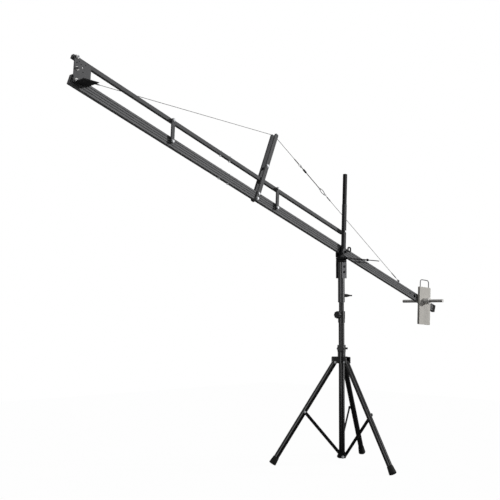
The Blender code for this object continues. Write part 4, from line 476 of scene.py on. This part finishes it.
def make_bolt_tree():
    """A node tree that sets a hexagon head on a washer at each point, along its bolt_axis."""
    tree = bpy.data.node_groups.new("hexagon_heads", "GeometryNodeTree")
    tree.interface.new_socket("Points", in_out="INPUT", socket_type="NodeSocketGeometry")
    for name in ("Across Corners", "Head Height", "Washer Width", "Washer Thickness"):
        tree.interface.new_socket(name, in_out="INPUT", socket_type="NodeSocketFloat")
    for name in ("Head Finish", "Washer Finish"):
        tree.interface.new_socket(name, in_out="INPUT", socket_type="NodeSocketMaterial")
    tree.interface.new_socket("Geometry", in_out="OUTPUT", socket_type="NodeSocketGeometry")
    start = add(tree, "NodeGroupInput")
    size = start.outputs

    # The washer lies on the point, with its flat face down.
    rim = add(tree, "ShaderNodeMath", {0: size["Washer Width"], 1: 0.5}, operation="MULTIPLY")
    washer = add(tree, "GeometryNodeMeshCylinder",
                 {"Vertices": WASHER_SIDES, "Radius": rim.outputs[0], "Depth": size["Washer Thickness"]})
    half = add(tree, "ShaderNodeMath", {0: size["Washer Thickness"], 1: 0.5}, operation="MULTIPLY")
    washer_lift = add(tree, "ShaderNodeCombineXYZ", {"Z": half.outputs[0]})
    washer_up = add(tree, "GeometryNodeTransform",
                    {"Geometry": washer.outputs["Mesh"], "Translation": washer_lift.outputs[0]})

    # The head is a straight hexagon with a low cone on top, which is its chamfer.
    corner = add(tree, "ShaderNodeMath", {0: size["Across Corners"], 1: 0.5}, operation="MULTIPLY")
    straight = add(tree, "ShaderNodeMath", {0: size["Head Height"], 1: 1 - CHAMFER_SHARE},
                   operation="MULTIPLY")
    chamfer = add(tree, "ShaderNodeMath", {0: size["Head Height"], 1: CHAMFER_SHARE}, operation="MULTIPLY")
    narrow = add(tree, "ShaderNodeMath", {0: corner.outputs[0], 1: TOP_SHARE}, operation="MULTIPLY")
    head = add(tree, "GeometryNodeMeshCylinder",
               {"Vertices": 6, "Radius": corner.outputs[0], "Depth": straight.outputs[0]})
    middle = add(tree, "ShaderNodeMath", {0: straight.outputs[0], 1: 0.5}, operation="MULTIPLY")
    base = add(tree, "ShaderNodeMath", {0: middle.outputs[0], 1: size["Washer Thickness"]}, operation="ADD")
    lift = add(tree, "ShaderNodeCombineXYZ", {"Z": base.outputs[0]})
    head_up = add(tree, "GeometryNodeTransform",
                  {"Geometry": head.outputs["Mesh"], "Translation": lift.outputs[0]})
    top = add(tree, "GeometryNodeMeshCone", {"Vertices": 6, "Radius Bottom": corner.outputs[0],
                                             "Radius Top": narrow.outputs[0], "Depth": chamfer.outputs[0]})
    top_base = add(tree, "ShaderNodeMath", {0: straight.outputs[0], 1: size["Washer Thickness"]},
                   operation="ADD")
    top_lift = add(tree, "ShaderNodeCombineXYZ", {"Z": top_base.outputs[0]})
    top_up = add(tree, "GeometryNodeTransform",
                 {"Geometry": top.outputs["Mesh"], "Translation": top_lift.outputs[0]})

    hexagon = add(tree, "GeometryNodeJoinGeometry")
    for part in (head_up, top_up):
        tree.links.new(part.outputs[0], hexagon.inputs[0])
    head_named = add(tree, "GeometryNodeSetMaterial",
                     {"Geometry": hexagon.outputs[0], "Material": size["Head Finish"]})
    washer_named = add(tree, "GeometryNodeSetMaterial",
                       {"Geometry": washer_up.outputs[0], "Material": size["Washer Finish"]})
    bolt = add(tree, "GeometryNodeJoinGeometry")
    for part in (head_named, washer_named):
        tree.links.new(part.outputs[0], bolt.inputs[0])
    way = add(tree, "GeometryNodeInputNamedAttribute", {"Name": "bolt_axis"}, data_type="FLOAT_VECTOR")
    turn = add(tree, "FunctionNodeAlignRotationToVector", {"Vector": way.outputs[0]}, axis="Z")
    placed = add(tree, "GeometryNodeInstanceOnPoints",
                 {"Points": size["Points"], "Instance": bolt.outputs[0], "Rotation": turn.outputs[0]})
    real = add(tree, "GeometryNodeRealizeInstances", {0: placed.outputs[0]})
    add(tree, "NodeGroupOutput", {0: real.outputs[0]})
    return tree


bolt_tree = make_bolt_tree()
print("bolt tree nodes:", len(bolt_tree.nodes))


# %% Bolts on a body
def add_bolts(name, body, places, finish=zinc, slot="zinc", under=zinc, corners=0.0152, height=0.0043,
              washer=0.0180, washer_thick=0.0010):
    """Bolt heads on washers. A place is a point and the way that it faces, and under is the washer's finish."""
    mesh = bpy.data.meshes.new(name)
    mesh.from_pydata([tuple(point) for point, way in places], [], [])
    axis = mesh.attributes.new("bolt_axis", "FLOAT_VECTOR", "POINT")
    axis.data.foreach_set("vector", [value for point, way in places for value in way])
    points = put_in_scene(name + "_points", mesh)
    modifier = points.modifiers.new("Hexagon heads", "NODES")
    modifier.node_group = bolt_tree
    inputs = {"Across Corners": corners, "Head Height": height, "Washer Width": washer,
              "Washer Thickness": washer_thick, "Head Finish": finish, "Washer Finish": under}
    for item in bolt_tree.interface.items_tree:
        if item.in_out == "INPUT" and item.name in inputs:
            modifier[item.identifier] = inputs[item.name]
    graph = bpy.context.evaluated_depsgraph_get()
    made = bpy.data.meshes.new_from_object(points.evaluated_get(graph))
    bpy.data.objects.remove(points)
    piece = put_in_scene(name, made)
    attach(piece, body)
    print(name, "heads:", len(places))


# %% [markdown]
# ## Where the bolts are
# Each list below is read off the crane: the pivots of the links and of the head plate on the near side,
# the clamp bolts of the king post, the upright bolts of the splices and the hinge pins of the stand. A
# FACE is how far the surface under a washer lies from the middle of its bar, lug or sleeve.

# %% Bolts of the links and the camera end
LINK_FACE = 0.0290
HEAD_FACE = 0.0273
HEAD_MIDDLE_FACE = 0.0270
HEAD_MIDDLE_UP = 0.0585
BLACK_HEADS = {"finish": fittings, "slot": "black_fittings"}
HEAD_BOLT = {**BLACK_HEADS, "under": nut_steel, "corners": 0.0110, "height": 0.0052, "washer": 0.0200}

for number, side in ((1, "front"), (2, "rear")):
    foot = joint_at[f"link_{side}_hinge"] + NEAR * LINK_FACE
    add_bolts(f"link_{number}_bolts", f"link_{side}_body",
              [(foot, NEAR), (foot + UPRIGHT * BAR_SPACING, NEAR)], height=0.0052)
head = joint_at["head_hinge"]
low = head + NEAR * HEAD_FACE
high = low + UPRIGHT * BAR_SPACING
middle = head + NEAR * HEAD_MIDDLE_FACE + UPRIGHT * HEAD_MIDDLE_UP
add_bolts("head_bolt_low", "arm", [(low, NEAR)], **HEAD_BOLT)
add_bolts("head_bolt_high", "camera_end", [(high, NEAR)], **HEAD_BOLT)
add_bolts("head_bolt_middle", "camera_end", [(middle, NEAR)], **HEAD_BOLT)

# %% Bolts of the king post and the splices
KING_FACE = 0.0214
KING_CLAMPS_UP = (0.017, -0.014)
KING_WEB_UP = 0.204
ARM_SPLICE_AT = -1.090
BAR_SPLICE_AT = -1.088
SPLICE_BOLT_SPACING = 0.0725
ARM_FACE = 0.025 + CLEARANCE
BAR_FACE = 0.010 + CLEARANCE
SPLICE_BOLT = {"corners": 0.0118, "height": 0.0058, "washer": 0.0150}

king_places = [(on_king(up, -KING_FACE), NEAR) for up in KING_CLAMPS_UP]
king_places += [(on_king(KING_WEB_UP, -KING_FACE), NEAR), (on_king(KING_WEB_UP, KING_FACE), -NEAR)]
add_bolts("king_post_bolts", "arm", king_places)
arm_places = []
bar_places = []
for side in (-1, 1):
    off = side * SPLICE_BOLT_SPACING / 2
    for face in (-1, 1):
        arm_places.append((on_arm(ARM_SPLICE_AT + off, face * ARM_FACE), NORMAL * face))
        spot = bar_pivot + ALONG * (BAR_SPLICE_AT + off) + NORMAL * face * BAR_FACE
        bar_places.append((spot, NORMAL * face))
add_bolts("arm_splice_bolts", "arm", arm_places, **SPLICE_BOLT)
add_bolts("bar_splice_bolts", "upper_bar", bar_places, **SPLICE_BOLT)

# %% Bolts of the stand
LEG_AZIMUTHS = {1: 140.6, 2: 260.6, 3: 20.6}
LEG_ANGLE = math.radians(32.252)
BRACE_ANGLE = math.radians(40.648)
LEG_HINGE_RADIUS = 0.046
BRACE_ON_LEG = 0.369
HUB_FACE = 0.0195
LOWER_HUB_FACE = 0.0278
BRACE_FACE = 0.0275
SMALL_WASHER = 0.0165
BRACE_BOLT = {"height": 0.0032, "washer": SMALL_WASHER, "washer_thick": 0.0008}

radials = {}
for number, azimuth in LEG_AZIMUTHS.items():
    radials[number] = Vector((math.cos(math.radians(azimuth)), math.sin(math.radians(azimuth)), 0))
hub_places = []
for number, radial in radials.items():
    tangent = Vector((-radial.y, radial.x, 0))
    hinge = joint_at[f"leg_{number}_hinge"]
    hub_places += [(hinge + tangent * HUB_FACE, tangent), (hinge - tangent * HUB_FACE, -tangent)]
add_bolts("leg_hub_bolts", "leg_hub_body", hub_places, washer=SMALL_WASHER)
lower_places = []
brace_reach = LEG_HINGE_RADIUS + BRACE_ON_LEG * math.sin(LEG_ANGLE)
for number, radial in radials.items():
    tangent = Vector((-radial.y, radial.x, 0))
    pin = joint_at[f"brace_{number}_hinge"]
    lower_places.append((pin + tangent * LOWER_HUB_FACE, tangent))
    end = pin + (radial + Vector((0, 0, 1)) / math.tan(BRACE_ANGLE)) * brace_reach
    add_bolts(f"brace_{number}_bolt", f"brace_{number}_body", [(end + tangent * BRACE_FACE, tangent)],
              **BRACE_BOLT)
add_bolts("lower_hub_bolts", "stand", lower_places, **BRACE_BOLT)

# %% Bolts of the column's bracket
BRACKET_FACE = 0.0253
BRACKET_BOLT_HEIGHTS = (1.2236, 1.2586)

plate_places = []
for side in (-1, 1):
    for height in BRACKET_BOLT_HEIGHTS:
        spot = Vector((stand_axis.x, stand_axis.y + side * BRACKET_FACE, height))
        plate_places.append((spot, Vector((0, side, 0))))
add_bolts("bracket_bolts", "column", plate_places, under=fittings, washer=SMALL_WASHER, **BLACK_HEADS)

# %% [markdown]
# ## Fluted knobs
# The two clamps of the stand have round nylon knobs. A hand grips them by flutes round the rim. Each
# knob is a stack of rings whose radius follows a cosine round the axis: full between the flutes, a little
# less in them, with a bevel at both ends and a shallow dish in the face.

# %% Rings to a piece
def skin(shape, rings):
    """Join each ring of vertices to the next one with four-sided faces."""
    for lower, upper in zip(rings, rings[1:]):
        for step in range(len(lower)):
            after = (step + 1) % len(lower)
            shape.faces.new((lower[step], lower[after], upper[after], upper[step]))


def finish_nylon(name, shape, body, sharp_edges=False):
    """Turn a finished shape into a smooth nylon piece that rides on a body."""
    bmesh.ops.recalc_face_normals(shape, faces=shape.faces)
    mesh = bpy.data.meshes.new(name)
    shape.to_mesh(mesh)
    shape.free()
    mesh.materials.append(nylon)
    mesh.shade_smooth()
    if sharp_edges:
        mesh.set_sharp_from_angle(angle=SHARP_ANGLE)
    piece = put_in_scene(name, mesh)
    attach(piece, body)
    print(name, "faces:", len(mesh.polygons))
    return piece


# %% Make the knobs
FLUTES = 8
FLUTE_DEPTH = 0.0022
RIM_STEPS = 96
STUD_RADIUS = 0.004
STEM_RADIUS = 0.011
STEM_LENGTH = 0.008
KNOB_RADIUS = 0.024
KNOB_THICK = 0.018
DISH_RADIUS = 0.014
DISH_DEPTH = 0.001
# Each bevel point is how far it lies in from the rim, and how deep from the knob's face.
BEVEL = ((0.0035, 0.0), (0.0010, 0.0010), (0.0, 0.0035))


def add_knob(node, body, azimuth, height, clamped, seat):
    """A fluted knob on its stem and stud, along the outward direction at an azimuth."""
    stud = clamped + CLEARANCE
    stem = seat + CLEARANCE
    back = stem + STEM_LENGTH
    front = back + KNOB_THICK
    levels = [(0.0, stud, 0), (STUD_RADIUS, stud, 0), (STUD_RADIUS, stem, 0), (STEM_RADIUS, stem, 0),
              (STEM_RADIUS, back, 0)]
    levels += [(KNOB_RADIUS - inwards, back + deep, 1) for inwards, deep in BEVEL]
    levels += [(KNOB_RADIUS - inwards, front - deep, 1) for inwards, deep in reversed(BEVEL)]
    levels += [(DISH_RADIUS + DISH_DEPTH, front, 0), (DISH_RADIUS, front - DISH_DEPTH, 0),
               (0.0, front - DISH_DEPTH, 0)]
    shape = bmesh.new()
    rings = []
    for radius, level, fluted in levels:
        ring = []
        for step in range(RIM_STEPS):
            angle = 2 * math.pi * step / RIM_STEPS
            cut = fluted * FLUTE_DEPTH * (0.5 - 0.5 * math.cos(FLUTES * angle)) ** 2
            spot = ((radius - cut) * math.cos(angle), (radius - cut) * math.sin(angle), level)
            ring.append(shape.verts.new(spot))
        rings.append(ring)
    skin(shape, rings)
    bmesh.ops.remove_doubles(shape, verts=shape.verts, dist=1e-6)
    bmesh.ops.dissolve_degenerate(shape, dist=1e-7, edges=shape.edges)
    outwards = Matrix.Rotation(math.radians(azimuth), 4, "Z") @ Matrix.Rotation(math.pi / 2, 4, "Y")
    place = Matrix.Translation(stand_axis + Vector((0, 0, height))) @ outwards
    bmesh.ops.transform(shape, matrix=place, verts=shape.verts)
    piece = finish_nylon(node + "_fluted", shape, body, sharp_edges=True)
    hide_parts(node)


add_knob("leg_lock_knob", "leg_lock", azimuth=210, height=joint_at["leg_lock_turn"].z,
         clamped=0.0190, seat=0.0270)
add_knob("pole_lock_knob", "pole_lock", azimuth=180, height=joint_at["pole_lock_turn"].z,
         clamped=0.0165, seat=0.0235)

# %% [markdown]
# ## Where the stays run
# Both wires run straight from a lug on the arm to the round saddle at the king post's top, and leave it
# where a straight line touches it from above. The sleeves below need these two lines.

# %% Lines of the wires
WIRE_RADIUS = 0.0015
EYE_RADIUS = 0.008
SADDLE_RADIUS = 0.0125
KING_TOP_UP = 0.415
# The holes of the two lugs: along the arm, above its middle line and across it.
FRONT_LUG_HOLE = (-2.105, 0.036, 0.016)
REAR_LUG_HOLE = (0.680, 0.038, 0.0)
WIRE_OFF = SADDLE_RADIUS + CLEARANCE + WIRE_RADIUS
saddle = on_king(KING_TOP_UP - SADDLE_RADIUS)
front_hole = on_arm(*FRONT_LUG_HOLE)
rear_hole = on_arm(*REAR_LUG_HOLE)


def wire_line(hole):
    """Where a wire leaves the saddle on its way to a lug's hole, and its direction."""
    off = (hole - saddle).normalized().cross(ACROSS).normalized() * WIRE_OFF
    if off.z < 0:
        off.negate()
    start = saddle + off
    return start, (hole - start).normalized()


_, front_way = wire_line(front_hole)
rear_start, rear_way = wire_line(rear_hole)
print("saddle to lugs:", [round((hole - saddle).length, 3) for hole in (front_hole, rear_hole)], "m")

# %% [markdown]
# ## Sleeves on the stays
# Where a wire is doubled back into an eye, a crimp holds it, and a black shrink sleeve covers the crimp.
# Each sleeve is a short tube with rounded ends, a little wider than the crimp under it.

# %% Shrink sleeves
SLEEVE_RADIUS = 0.0031
SLEEVE_SIDES = 16
# Each point of a rounded end is its distance from the end and its share of the full radius.
ROUNDED_END = ((0.0, 0.45), (0.0008, 0.85), (0.002, 1.0))
# The sleeves behind the king post are measured from the saddle, and the last two back from the lugs.
REAR_SLEEVES = ((0.212, 0.262), (0.582, 0.624))
REAR_LUG_SLEEVE = (0.100, 0.040)
FRONT_LUG_SLEEVE = (0.100, 0.060)


def add_sleeve(name, start, end):
    """A black sleeve along the straight line from start to end."""
    shape = bmesh.new()
    way = (end - start).normalized()
    side = way.orthogonal().normalized()
    other = way.cross(side)
    length = (end - start).length
    levels = list(ROUNDED_END) + [(length - reach, share) for reach, share in reversed(ROUNDED_END)]
    angles = [2 * math.pi * step / SLEEVE_SIDES for step in range(SLEEVE_SIDES)]
    rings = []
    for reach, share in levels:
        middle = start + way * reach
        spots = [middle + SLEEVE_RADIUS * share * (side * math.cos(a) + other * math.sin(a)) for a in angles]
        rings.append([shape.verts.new(spot) for spot in spots])
    skin(shape, rings)
    shape.faces.new(rings[0])
    shape.faces.new(rings[-1])
    finish_nylon(name, shape, "arm")


for number, (start, end) in enumerate(REAR_SLEEVES, 1):
    add_sleeve(f"stay_sleeve_{number}", rear_start + rear_way * start, rear_start + rear_way * end)
start, end = (rear_hole - rear_way * back for back in REAR_LUG_SLEEVE)
add_sleeve("stay_sleeve_3", start, end)
eye_back = front_hole - front_way * (EYE_RADIUS - WIRE_RADIUS - CLEARANCE + EYE_RADIUS)
start, end = (eye_back - front_way * back for back in FRONT_LUG_SLEEVE)
add_sleeve("stay_sleeve_4", start, end)
